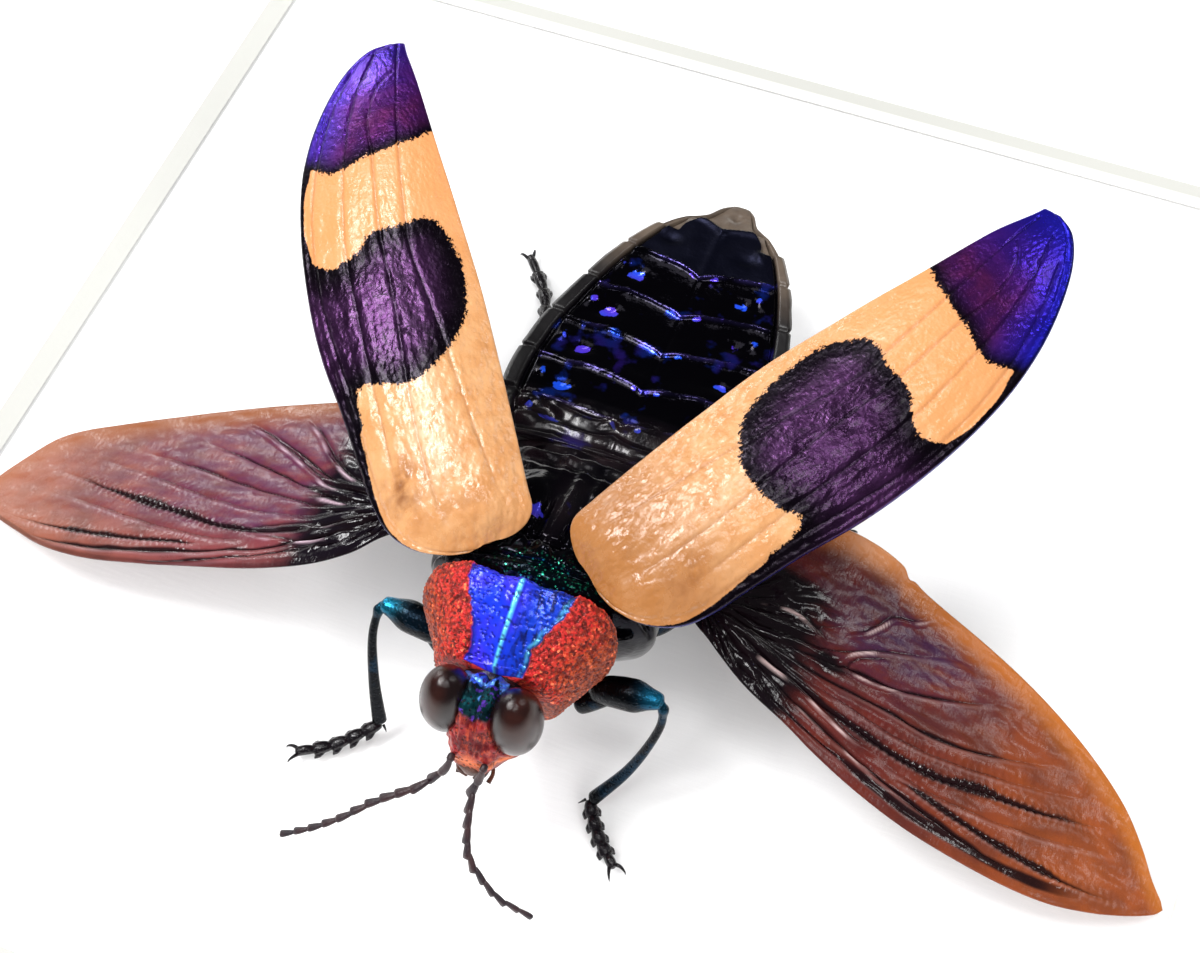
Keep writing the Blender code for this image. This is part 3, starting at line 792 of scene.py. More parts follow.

# %% [markdown]
# The wing case's finish
#
# The ground is a warm cream with a leathery gloss. The dark bands are a thin violet metallic
# layer, black where it is thick and blue towards the tip and the rim. The stored distance gives
# the bands' place, and a noise breaks up their borders into fine teeth.
# A pale painted sheen lies near each case's base, and painted shade darkens the base of the left case.

# %% Wing case material
CREAM = paint(184, 128, 78)
CREAM_PALE = paint(196, 146, 98)
CREAM_BAND = paint(200, 136, 84)
CREAM_BROWN = paint(120, 72, 38)
CREAM_TAN = paint(142, 90, 44)
CREAM_WORN = paint(216, 184, 156)
BAND_BLACK = paint(16, 6, 20)
BAND_VIOLET = paint(72, 37, 80)
TIP_VIOLET = paint(78, 28, 106)
TIP_MAGENTA = paint(94, 26, 88)
TIP_BLUE = paint(40, 34, 206)
RIM_BLUE = paint(38, 40, 130)
# The blue of the tips is their own colour; that it is weaker on the right case is painted sheen.
TIP_BLUE_SHARE = {1: 1.0, -1: 0.55}
BASE_TAN = {1: 0.8, -1: 0.15}
WORN = {1: 0.25, -1: 0.7}


def elytron_material():
    material, tree, shader = new_material("wing_case_finish", IOR=1.6, Coat_Weight=0.08,
                                          Coat_Roughness=0.14)
    place = sheet_place_in_mm(tree)
    u = axes_of(place)[0]
    effect = use_group(tree, grain, Place=place, Scale=5.0)

    teeth = noise_at(stretched(place, (3.2, 4.6, 1.0)), 1.0, 4.0, 0.75)
    ragged = times(minus(teeth, 0.5), 1.3)
    inwards = ramp(stored(tree, "margin"), 0.4, 1.4, 0.12, 1.0)
    depth = plus(stored(tree, "dark"), times(ragged, inwards))
    dark = ramp(depth, -0.03, 0.03)

    cream = mix(effect["Mottle"], CREAM, CREAM_PALE)
    warm = ramp(u, 10.0, 24.0)
    cream = mix(warm, cream, CREAM_BAND)
    smudge_noise = noise_at(place, 0.9, 4.0)
    smudge = times(stored(tree, "smudge"), ramp(smudge_noise, 0.35, 0.65))
    cream = mix(smudge, cream, CREAM_BROWN)
    # Painted shade: the cream is darker towards the base, much more on the left wing case.
    cream = mix(stored(tree, "tan"), cream, CREAM_TAN)
    wrinkle = noise_at(stretched(place, (1.6, 3.0, 1.0)), 1.0, 3.0)
    # A pale painted sheen, broken up by wrinkles, near the base of each wing case.
    worn = times(stored(tree, "worn"), ramp(wrinkle, 0.3, 0.6))
    cream = mix(worn, cream, CREAM_WORN)
    cream = mix(times(stored(tree, "furrow"), 0.35), cream, CREAM_BROWN)

    in_tip = ramp(stored(tree, "tip"), 0.0, 1.5)
    deep = ramp(depth, 0.3, 2.8)
    patchy = ramp(effect["Mottle"], 0.0, 1.0, 0.6, 1.0)
    violet = mix(times(deep, patchy), BAND_BLACK, BAND_VIOLET)
    tip = mix(effect["Mottle"], TIP_VIOLET, TIP_MAGENTA)
    tip = mix(stored(tree, "tip_blue"), tip, TIP_BLUE)
    tip = mix(ramp(stored(tree, "margin"), 0.35, 0.1), tip, paint(16, 22, 92))
    violet = mix(in_tip, violet, tip)
    lined = times(stored(tree, "furrow"), ramp(in_tip, 0.0, 1.0, 0.8, 0.45))
    violet = mix(lined, violet, BAND_BLACK)
    rim = ramp(stored(tree, "margin"), 0.12, 0.03)
    violet = mix(rim, violet, RIM_BLUE)

    colour = mix(dark, cream, violet)
    colour = mix(stored(tree, "underside"), colour, paint(40, 22, 34))
    finish_with(shader, Base_Color=colour, Metallic=times(dark, 0.82),
                Roughness=ramp(effect["Mottle"], 0.0, 1.0, 0.22, 0.32))
    leather = cells_at(stretched(place, (2.6, 4.6, 1.0)), 1.0, "SMOOTH_F1")
    height = plus(effect["Height"], leather)
    relief(shader, height, 0.032)
    return material


elytron_finish = elytron_material()
print("wing case finish has", len(elytron_finish.node_tree.nodes), "nodes")

# %% Build the wing cases
ELYTRON_ROWS = 300
ELYTRON_COLUMNS = 110
SMOOTH_RIM = 0.35


def build_elytron(name, side, node):
    middle, uv, to_outer, to_rim = elytron_sheet(side, ELYTRON_ROWS, ELYTRON_COLUMNS)
    normals = upward(middle)
    height, furrow = elytron_relief(uv, to_outer)
    height = height * held(to_rim / SMOOTH_RIM)
    rounding = held(to_rim / ELYTRON_HALF_WALL)
    half = ELYTRON_HALF_WALL * np.sqrt(1 - (1 - rounding) ** 2)
    dark, tip = elytron_bands(uv, to_outer, side)
    thinning = held((uv[..., 0] - THINNING_START) / THINNING_LENGTH)
    top_half = half * (1 - 0.06 * thinning)
    points, faces, source = shell_parts(middle, normals, top_half + height, half - height * 0.5)
    u, v = uv[..., 0].ravel(), uv[..., 1].ravel()
    smudge = hill(u - 3.4, 1.7) * hill(v - 6.7, 1.0) + 0.35 * hill(u - 1.2, 1.2) * hill(v - 3.5, 2)
    underside = np.zeros(len(points))
    underside[len(u):] = 1.0
    outwards = held((2.8 - to_outer.ravel()) / 2.4)
    tip_blue = np.maximum(held((u - 28.0) / 6.0), outwards)
    # Where the pale painted sheen lies: stronger on the right wing case.
    worn = WORN[side] * hill(np.maximum(np.abs(u - 6.8) - 2.2, 0), 1.6) * hill(v - 4.6, 1.1)
    # Where the painted base shade lies: strong on the left case and faint on the right.
    tan = BASE_TAN[side] * hill(np.maximum(u - 2.5, 0), 4.0)
    values = at_points(source, dark=dark, tip=tip, tip_blue=tip_blue * TIP_BLUE_SHARE[side],
                       furrow=furrow, margin=to_outer, smudge=smudge, worn=worn, tan=tan)
    values["underside"] = underside
    flat = np.stack([u, v], axis=1)[source] / SHEET_UV
    piece = new_piece(name, to_frame(points, side), faces, elytron_finish, values, flat)
    fit_piece(piece, "elytron", node)


build_elytron("left_wing_case", 1, "left_elytron")
build_elytron("right_wing_case", -1, "right_elytron")

# %% [markdown]
# The hind wing's form
#
# The hind wing is a thin brown membrane, stiffened by veins that fan out from its root. Each
# vein is a furrow between two soft ridges, crossed by short wrinkles where the membrane folds.
# The leading edge carries several strong veins side by side. The two wings dried a little
# differently, so each has its own lines.

# %% Hind wing outline and veins
WING_LEADING = {
    1: [(7.0, -10.6), (10.0, -12.2), (12.9, -13.9), (16.0, -15.0), (18.2, -15.9), (21.0, -16.8),
        (24.3, -17.5), (27.9, -17.8), (31.0, -17.8), (33.4, -17.5), (35.7, -16.8), (37.7, -15.9),
        (39.2, -15.0), (39.7, -14.4)],
    -1: [(7.0, -10.6), (10.2, -12.5), (12.0, -14.1), (14.5, -15.3), (18.0, -16.1), (21.8, -16.5),
        (25.5, -16.8), (29.5, -16.95), (33.1, -16.5), (36.0, -15.5), (38.4, -14.5), (40.2, -13.6)],
}
WING_TRAILING = {
    1: [(7.0, -8.4), (8.6, -5.0), (11.5, -2.4), (14.5, -1.1), (17.0, -0.9), (19.2, -1.4), (20.9, -2.4),
        (25.5, -3.75), (29.2, -5.1), (32.7, -6.9), (35.7, -9.1), (37.5, -11.2), (38.6, -12.9),
        (39.5, -14.0)],
    -1: [(7.0, -8.4), (8.6, -5.0), (11.5, -2.6), (14.5, -2.0), (18.2, -2.6), (23.7, -3.7), (29.5, -5.2),
        (33.0, -6.2), (35.3, -6.95), (37.1, -8.0), (38.9, -10.3), (39.8, -11.8), (40.2, -13.2)],
}
WING_ROOT_UP = 12.35
WING_DROP = 0.3443
WING_HALF_WALL = 0.07
WING_LENGTH = 34.0
WING_SWELL = 0.16
VEIN_START = (9.0, -10.2)
TOOTH_PITCH = 0.48

HIGHLIGHT_FOLDS = {
    1: [
        [(20.8, -7.3), (19.6, -7.9), (18.6, -8.5), (17.95, -9.2), (17.85, -9.7), (18.3, -10.05),
            (19.3, -10.05), (20.4, -9.9), (22.0, -9.4)],
        [(17.4, -8.0), (18.5, -7.2), (19.2, -6.2), (19.8, -5.3), (21.0, -4.8), (22.0, -3.9)],
        [(12.2, -8.6), (14.2, -8.2), (16.0, -8.8), (16.8, -9.6)],
        [(12.0, -11.9), (15.6, -12.6), (17.8, -13.4), (19.8, -14.1), (21.4, -14.2)],
        [(15.0, -13.3), (18.0, -14.3), (20.3, -15.2), (22.5, -15.4)],
    ],
    -1: [
        [(12.6, -9.4), (14.6, -8.7), (16.6, -7.2), (18.0, -5.7), (19.6, -4.4)],
        [(13.4, -10.0), (15.6, -9.6), (18.6, -7.8), (21.6, -6.1), (23.6, -5.2)],
        [(12.4, -12.0), (14.4, -12.6), (16.8, -12.9), (20.0, -13.6)],
        [(12.6, -13.2), (15.4, -13.9), (17.4, -14.0), (18.8, -14.0)],
        [(12.4, -11.0), (14.8, -10.7), (17.0, -10.6)],
    ],
}
# Each vein: (depth, width, darkness, wrinkling), then its points
VEINS = {
    1: [
        ((0.14, 0.22, 0.5, 0.2), [(9.0, -8.6), (12.0, -7.4), (15.0, -6.0), (18.4, -4.3)]),
        ((0.2, 0.24, 0.7, 0.2), [(9.0, -9.2), (12.5, -8.9), (15.5, -8.3), (18.5, -6.4), (20.4, -5.0)]),
        ((0.26, 0.22, 0.8, 0.3), [(9.0, -9.7), (13.0, -9.9), (16.9, -9.2), (19.2, -7.9), (21.3, -6.9),
            (23.6, -5.9), (25.4, -5.3)]),
        ((0.3, 0.24, 1.0, 0.3), [(9.0, -10.0), (13.0, -10.5), (16.4, -10.2), (19.0, -9.6), (21.5, -9.4),
            (24.4, -8.45), (27.2, -7.1), (28.8, -6.6)]),
        ((0.3, 0.26, 1.0, 0.3), [(9.0, -10.2), (13.0, -10.9), (16.8, -11.2), (20.6, -11.15),
            (24.0, -11.3), (26.9, -10.8), (29.9, -9.7), (32.2, -8.6)]),
        ((0.2, 0.16, 0.6, 0.6), [(15.5, -11.7), (19.5, -12.2), (23.5, -12.5), (27.5, -11.9),
            (31.0, -11.0), (34.0, -10.0)]),
        ((0.34, 0.4, 1.2, 1.0), [(9.5, -10.8), (13.5, -11.7), (17.6, -12.8), (21.7, -13.5), (24.7, -13.7),
            (27.7, -13.05), (31.3, -12.45), (34.3, -11.6), (36.2, -11.0)]),
        ((0.16, 0.18, 0.5, 0.3), [(21.6, -14.3), (25.0, -14.8), (28.6, -14.5), (31.8, -13.9),
            (34.7, -13.1), (37.2, -12.4)]),
        ((0.26, 0.34, 1.2, 0.8), [(22.5, -14.9), (26.0, -15.4), (29.0, -15.7), (32.0, -15.9),
            (35.5, -15.7), (38.0, -15.0)]),
        ((0.34, 0.24, 1.1, 0.2), [(9.0, -11.2), (12.6, -12.2), (16.0, -13.5), (19.1, -14.6),
            (22.0, -15.4), (25.5, -16.2), (29.0, -16.7), (33.5, -16.7)]),
        ((0.26, 0.18, 1.0, 0.1), [(9.0, -11.5), (12.6, -13.0), (16.0, -14.4), (19.3, -15.4),
            (24.0, -16.5), (28.5, -17.0)]),
    ],
    -1: [
        ((0.14, 0.22, 0.4, 0.2), [(9.0, -8.6), (12.0, -7.2), (14.5, -5.4), (16.8, -3.2)]),
        ((0.22, 0.22, 0.7, 0.3), [(9.0, -9.1), (12.5, -8.9), (15.1, -8.0), (17.2, -6.1), (19.6, -4.2),
            (20.8, -3.6)]),
        ((0.3, 0.22, 1.0, 0.3), [(9.0, -9.5), (12.5, -9.6), (15.0, -9.1), (19.0, -6.9), (21.8, -5.5),
            (23.9, -4.8)]),
        ((0.3, 0.24, 0.9, 0.3), [(9.0, -9.9), (12.5, -10.3), (15.4, -10.1), (20.3, -8.5), (24.6, -7.25),
            (27.4, -6.3)]),
        ((0.26, 0.26, 0.7, 0.4), [(9.0, -10.3), (12.6, -11.3), (16.0, -10.95), (20.15, -10.2),
            (26.9, -8.75), (31.2, -8.1)]),
        ((0.2, 0.18, 0.5, 0.6), [(14.5, -11.7), (19.5, -11.9), (24.5, -11.0), (29.0, -9.9),
            (33.0, -9.1)]),
        ((0.34, 0.38, 1.1, 1.0), [(9.5, -10.9), (13.5, -12.2), (17.0, -13.1), (20.5, -13.4),
            (24.8, -12.7), (29.8, -11.7), (33.5, -10.8), (35.6, -10.5)]),
        ((0.18, 0.2, 0.5, 0.5), [(18.5, -14.2), (22.5, -14.3), (27.0, -13.7), (32.0, -12.7),
            (36.3, -12.0)]),
        ((0.24, 0.3, 1.0, 0.7), [(21.5, -14.9), (26.0, -15.1), (31.0, -15.1), (35.5, -14.7),
            (38.0, -14.2)]),
        ((0.34, 0.26, 1.1, 0.2), [(9.0, -11.2), (12.5, -12.5), (15.5, -13.7), (18.6, -14.8),
            (25.4, -15.9), (32.1, -16.1), (36.6, -15.4)]),
        ((0.26, 0.18, 0.9, 0.1), [(9.0, -11.5), (12.6, -13.3), (16.0, -14.6), (20.0, -15.7),
            (25.0, -16.6), (30.0, -16.9)]),
    ],
}


def wing_sheet(side, rows, columns):
    """The membrane's flat form with its (out, along) places and distances to the edges."""
    leading = points_along(WING_LEADING[side], rows)
    trailing = points_along(WING_TRAILING[side], rows)
    if side > 0:
        trailing[:, 1] -= 0.35 * hill(trailing[:, 0] - 19.7, 0.3)
    t = np.linspace(0, 1, columns)[None, :]
    s = np.linspace(0, 1, rows)[:, None]
    flat = leading[:, None] * (1 - t[..., None]) + trailing[:, None] * t[..., None]
    up = WING_ROOT_UP - WING_DROP * (flat[..., 0] - leading[0, 0])
    width = np.linalg.norm(trailing - leading, axis=1)[:, None]
    to_rim = np.minimum(np.minimum(t, 1 - t) * width, np.minimum(s, 1 - s) * WING_LENGTH)
    return np.dstack([flat, up]), flat, t * width, (1 - t) * width, to_rim


def wing_relief(flat, side):
    """Height of the folds; how dark each place is, from the veins and from painted shade beside the
    highlight folds; and the painted highlights on fold crests and vein sides.
    """
    spots = flat.reshape(-1, 2)
    height = np.zeros(len(spots))
    dark = np.zeros(len(spots))
    crest = np.zeros(len(spots))
    for i, ((depth, width, darkness, rough), line) in enumerate(VEINS[side]):
        gap, place, hand = to_line(spots, points_along(line, 60))
        length = np.linalg.norm(np.diff(np.array(line), axis=0), axis=1).sum()
        fade = held(place / 2.0) * held((length - place) / 6.0)
        waver = 1 + 0.3 * wrinkles(place * 0.8, gap * 0.5 + i, 31)
        height += fade * (WING_SWELL * hill(gap, 1.1) - depth * waver * np.exp(-gap / 0.2))
        turns = place / TOOTH_PITCH + 0.4 * wrinkles(place * 0.9, gap, 33 + i)
        teeth = np.sin(turns * 2 * math.pi)
        toothed = held(rough * 1.6 - 0.6) * held((spots[:, 0] - 18.0) / 5.0)
        height += fade * toothed * 0.07 * teeth * hill(gap - 0.26, 0.24)
        line_width = width * (0.3 + 0.6 * fade)
        dark = np.maximum(dark, fade * darkness * hill(gap * waver, line_width))
        dark = np.maximum(dark, fade * toothed * 0.7 * held(teeth) * hill(gap - 0.2, 0.18))
        # A painted highlight along one side of each vein, on its outer part.
        lit = (hand < 0) * held((spots[:, 0] - 17.0) / 4.0)
        crest = np.maximum(crest, 0.22 * fade * (0.6 + 0.4 * toothed * teeth) * lit
                           * hill(gap - 0.28, 0.09))
    for line in HIGHLIGHT_FOLDS[side]:
        gap, place, hand = to_line(spots, points_along(line, 50))
        length = np.linalg.norm(np.diff(np.array(line), axis=0), axis=1).sum()
        fade = held(place / 1.5) * held((length - place) / 1.5)
        height += fade * (0.13 * hill(gap, 0.12) - 0.12 * (hand > 0) * hill(gap - 0.3, 0.2))
        broken = held(0.55 + 0.9 * wrinkles(place * 1.1, gap, 39))
        # A painted highlight along each highlight fold's crest, and painted shade beside it.
        crest = np.maximum(crest, fade * broken * hill(gap, 0.055))
        dark = np.maximum(dark, 0.7 * fade * (hand > 0) * hill(gap - 0.3, 0.22))
    x, y = spots.T
    start_x, start_y = VEIN_START
    reach = np.hypot(x - start_x, y - start_y)
    turn = np.arctan2(y - start_y, x - start_x)
    near_root = hill(np.maximum(reach - 3.0, 0), 4.2)
    pleats = 1 - 2 * np.abs(wrinkles(turn * 9.0, reach * 0.30, 34))
    height += near_root * 0.24 * pleats
    height += 0.07 * wrinkles(x * 0.45, y * 1.1, 35)
    height += 0.030 * wrinkles(x * 1.2 + y * 0.5, y * 2.0, 36)
    height += 0.011 * wrinkles(x * 3.4, y * 2.0, 37)
    patches = held(0.5 + 0.9 * wrinkles(x * 0.5, y * 0.6, 38))
    height += 0.006 * patches * wrinkles(x * 7.0 + y, y * 2.4, 40)
    shape = flat.shape[:2]
    return height.reshape(shape), dark.reshape(shape), crest.reshape(shape)


print("the wings have", len(VEINS[1]), "and", len(VEINS[-1]), "veins and folds")

# %% [markdown]
# The hind wing's finish
#
# Close to the root the membrane is nearly black, under a painted violet sheen. It gets brown, and
# orange where it is thinnest, along the hind edge. The veins are darker than the membrane.
# Wet-looking folds near the root are much glossier than the rest. Pale painted highlights run
# along the fold crests and one side of the veins, with painted shade beside the folds.

# %% Hind wing material


def wing_material(name, colours):
    """Membrane: brown, with a painted violet sheen, an orange hind edge, black wet-looking folds and
    painted highlights on the fold crests.
    """
    material, tree, shader = new_material(name, IOR=1.42)
    place = sheet_place_in_mm(tree)
    effect = use_group(tree, grain, Place=place, Scale=3.0)
    streaks = noise_at(stretched(place, (0.5, 1.3, 1.0)), 1.0, 5.0, 0.6)
    across = noise_at(stretched(place, (4.2, 1.1, 1.0)), 1.0, 3.0, 0.6)
    outer_end = ramp(axes_of(place)[0], 20.0, 37.0)
    brown = mix(outer_end, colours["brown"], colours["tip"])
    patchy = ramp(effect["Mottle"], 0.0, 1.0, 0.0, 0.35)
    colour = mix(patchy, brown, colours["root"])
    # A painted violet sheen in streaks over part of the membrane.
    bloom = times(stored(tree, "bloom"), ramp(streaks, 0.2, 0.7))
    colour = mix(bloom, colour, colours["bloom"])
    near_edge = times(ramp(stored(tree, "hind_edge"), 2.4, 0.3), ramp(stored(tree, "root"), 0.6, 0.2))
    colour = mix(near_edge, colour, colours["edge"])
    colour = mix(stored(tree, "pale"), colour, colours["pale"])
    uneven = times(minus(streaks, 0.5), 0.5)
    near_root = ramp(plus(stored(tree, "root"), uneven), 0.35, 0.8)
    colour = mix(near_root, colour, colours["root"])
    # Painted highlights on the fold crests and beside the veins.
    fold_light = times(stored(tree, "crest"), 0.9)
    colour = mix(fold_light, colour, colours["crest"])
    vein = ramp(stored(tree, "vein"), 0.25, 0.85)
    colour = mix(times(vein, 0.95), colour, paint(15, 7, 11))
    wet = calculate("MAXIMUM", near_root, vein)
    rough = plus(ramp(wet, 0.0, 1.0, 0.24, 0.10), times(effect["Mottle"], 0.06))
    finish_with(shader, Base_Color=colour, Roughness=rough)
    relief(shader, plus(times(across, 1.3), effect["Height"]), 0.018)
    return material


# The two wings are the same membrane: the differences between their colours are painted light, mostly the
# right wing's stronger violet sheen.
wing_finishes = {
    1: wing_material("left_wing_membrane", {
        "brown": paint(84, 28, 17), "tip": paint(138, 68, 28), "bloom": paint(54, 26, 54),
        "edge": paint(158, 88, 30), "pale": paint(200, 132, 84), "root": paint(12, 6, 10),
        "crest": paint(196, 170, 168)}),
    -1: wing_material("right_wing_membrane", {
        "brown": paint(112, 52, 54), "tip": paint(130, 76, 60), "bloom": paint(80, 34, 62),
        "edge": paint(128, 72, 38), "pale": paint(156, 100, 78), "root": paint(14, 8, 16),
        "crest": paint(186, 158, 172)}),
}
print("membranes:", ", ".join(finish.name for finish in wing_finishes.values()))

# %% Build the hind wings
WING_ROWS = 300
WING_COLUMNS = 155
WING_ROUNDING = 0.12


def build_hind_wing(name, side, node):
    middle, flat, to_front, to_hind, to_rim = wing_sheet(side, WING_ROWS, WING_COLUMNS)
    height, dark, crest = wing_relief(flat, side)
    middle = middle.copy()
    middle[..., 2] += height * np.clip(to_rim / 0.5, 0.15, 1)
    normals = upward(middle)
    rounding = held(to_rim / WING_ROUNDING)
    half = WING_HALF_WALL * np.sqrt(1 - (1 - rounding) ** 2)
    half *= 1 + 1.2 * held(dark)
    points, faces, source = shell_parts(middle, normals, half, half)
    x, y = flat[..., 0].ravel(), flat[..., 1].ravel()
    front = to_front.ravel()
    root = hill(np.maximum(x - 13.0, 0), 4.2)
    if side > 0:
        root *= hill(np.maximum(y + 6.8, 0), 1.8)
        root = np.maximum(root, 0.85 * hill(x - 17.0, 2.0) * hill(y + 10.2, 1.1))
        # Where the painted violet sheen lies on the left wing.
        bloom = 1.1 * hill(x - 20.5, 5.0) * hill(y + 6.5, 3.0) + 0.12
        pale = hill(x - 17.6, 2.3) * hill(y + 1.0, 1.3)
        margin = (held((x - 17.0) / 4.0) * held((37.0 - x) / 5.0)
                  * hill(np.maximum(np.abs(front - 0.95) - 0.15, 0), 0.24))
    else:
        root = np.maximum(root, 0.8 * hill(x - 14.5, 3.0) * hill(y + 13.2, 1.2))
        # Where the painted violet sheen lies on the right wing: over most of it, towards the root.
        bloom = held(1.45 - (x - 12.0) / 20.0) * hill(np.maximum(-13.0 - y, 0), 1.0)
        pale = 0.5 * hill(x - 38.5, 4.0)
        margin = 0.6 * hill(np.maximum(front - 0.2, 0), 0.25)
    # Dark veins, the painted shade beside the highlight folds, and the dark leading band.
    vein = np.maximum(dark.ravel(), 0.9 * margin)
    values = at_points(source, vein=vein, crest=crest, root=root, bloom=held(bloom), pale=pale,
                       hind_edge=to_hind)
    uv = np.stack([x, y], axis=1)[source] / SHEET_UV
    piece = new_piece(name, to_frame(points, side), faces, wing_finishes[side], values, uv)
    fit_piece(piece, "wing_membrane", node)


build_hind_wing("left_flight_wing", 1, "left_hind_wing")
build_hind_wing("right_flight_wing", -1, "right_hind_wing")

# %% [markdown]
# The body's form
#
# The body is lofted from measured stations along the midline: half width, height of the back,
# height of the widest place and height of the underside. The sections are flattened ovals. Each
# body part then gets its own relief on the same kind of grid.

# %% Body lofts


def body_grid(stations, rows, columns, roundness):
    """Rings of a rounded body, with the (out, along) place of each point."""
    stations = sorted(stations)
    values = [smooth_values([(s[0], s[i]) for s in stations]) for i in range(1, 5)]
    ends = 0.5 * (1 - np.cos(np.linspace(0, math.pi, rows)))
    even = np.linspace(0, 1, rows)
    along = stations[0][0] + (0.5 * ends + 0.5 * even) * (stations[-1][0] - stations[0][0])
    angles = np.linspace(0, 2 * math.pi, columns, endpoint=False)
    half_width, top, waist, bottom = (value(along)[:, None] for value in values)
    lift = np.sin(angles)[None, :]
    out = half_width * np.sign(np.cos(angles)) * np.abs(np.cos(angles)) ** roundness
    up = np.where(lift > 0, waist + (top - waist) * lift, waist + (waist - bottom) * lift)
    return np.dstack([out, np.broadcast_to(along[:, None], out.shape), up])


def outward(grid):
    """Normals of a ring grid that point away from its axis."""
    normals = grid_normals(grid, wrap=True)
    centre = grid.mean(axis=1, keepdims=True)
    if ((grid - centre) * normals).sum(axis=2).mean() < 0:
        normals = -normals
    return normals


def raised(grid, height):
    """A loft whose rings are moved outwards by a height."""
    return loft_parts(grid + outward(grid) * height[..., None])


def nearest_gap(spots, centres):
    """Distance from each spot to the nearest centre."""
    tree = KDTree(len(centres))
    for i, centre in enumerate(centres):
        tree.insert(centre, i)
    tree.balance()
    return np.array([tree.find(spot)[2] for spot in spots])


print("a loft of 4 rings has", body_grid([(0, 1, 1, 0, -1), (1, 1, 1, 0, -1)], 4, 8, 1).shape)

# %% [markdown]
# The pronotum
#
# The pronotum is the shield behind the head. A smooth blue band with a sharp middle ridge and
# dark pits runs down its back, and its sides are covered in coarse coppery red grains. The
# grains are raised in the mesh as small domes around random points, and the pits are sunk.
# The band's ridge and right border carry painted highlights and its right half painted shade; the grains
# carry painted glints, with painted shade between them.

# %% Pronotum
PRONOTUM_STATIONS = [(-14.95, 5.2, 16.0, 13.6, 8.2), (-15.3, 5.65, 16.2, 13.2, 7.8),
    (-16.2, 5.75, 15.9, 12.6, 7.5), (-17.4, 5.2, 15.3, 12.0, 7.5), (-18.6, 4.5, 14.6, 11.5, 7.7),
    (-19.5, 3.95, 14.0, 11.2, 8.0), (-19.85, 3.6, 13.7, 11.2, 8.4)]
BAND_HALF = [(-19.85, 1.8), (-19.0, 1.75), (-17.8, 2.1), (-16.4, 2.9), (-15.4, 3.15), (-14.95, 3.2)]
GRAIN_PITCH = 0.2
PIT_COUNT = 330
PIT_RADIUS = 0.085
BAND_HIND_END = -15.05


def pronotum_material():
    material, tree, shader = new_material("pronotum_finish", IOR=1.5)
    place = place_in_mm(tree)
    band = ramp(stored(tree, "band"), -0.05, 0.05)
    effect = use_group(tree, grain, Place=place, Scale=4.0)
    violet = mix(effect["Mottle"], paint(24, 58, 236), paint(62, 48, 236))
    # Painted shade: the band's right half is a deeper blue, with dark streaks.
    blue = mix(stored(tree, "far_side"), violet, paint(16, 58, 196))
    streak = noise_at(stretched(place, (3.4, 1.0, 1.0)), 1.0, 3.0)
    streaky = times(stored(tree, "far_side"), ramp(streak, 0.48, 0.62))
    blue = mix(streaky, blue, paint(8, 26, 92))
    # Painted highlights on the band's middle ridge and along its right border.
    blue = mix(stored(tree, "cyan"), blue, paint(110, 230, 255))
    blue = mix(times(stored(tree, "pit"), 0.85), blue, paint(18, 18, 92))
    edge = ramp(stored(tree, "band"), 0.35, 0.0)
    blue = mix(times(edge, 0.6), blue, paint(20, 40, 90))
    speck = cells_at(place, 6.5, output="Color")
    speck_value = tree.nodes.new("ShaderNodeSeparateColor")
    wire(speck, speck_value.inputs[0])
    hue = speck_value.outputs[0]
    glow = speck_value.outputs[1]
    red = mix(hue, paint(188, 34, 28), paint(192, 76, 32))
    crimson = ramp(stored(tree, "band"), -2.4, -0.3)
    outer = mix(hue, paint(128, 50, 22), paint(172, 74, 32))
    red = mix(ramp(stored(tree, "band"), -1.4, -3.0), red, outer)
    red = mix(times(crimson, 0.7), red, paint(212, 34, 44))
    # Painted glitter: the grains' brightness differs, and the brightest carry painted glints.
    red = mix(ramp(glow, 0.45, 0.0), red, paint(84, 18, 14))
    red = mix(ramp(glow, 0.93, 1.0), red, paint(255, 122, 78))
    # Painted shade in the hollows between the grains.
    hollow = times(stored(tree, "hollow"), 0.75)
    red = mix(hollow, red, paint(84, 16, 14))
    finish_with(shader, Base_Color=mix(band, red, blue),
                Metallic=ramp(band, 0.0, 1.0, 0.35, 0.45),
                Roughness=mix(band, (0.36, 0.36, 0.36, 1), (0.24, 0.24, 0.24, 1)))
    crumb = cells_at(place, 9.0)
    rougher = mix(band, crumb, (0.5, 0.5, 0.5, 1))
    height = plus(rougher, times(effect["Height"], 0.4))
    relief(shader, height, 0.05)
    return material


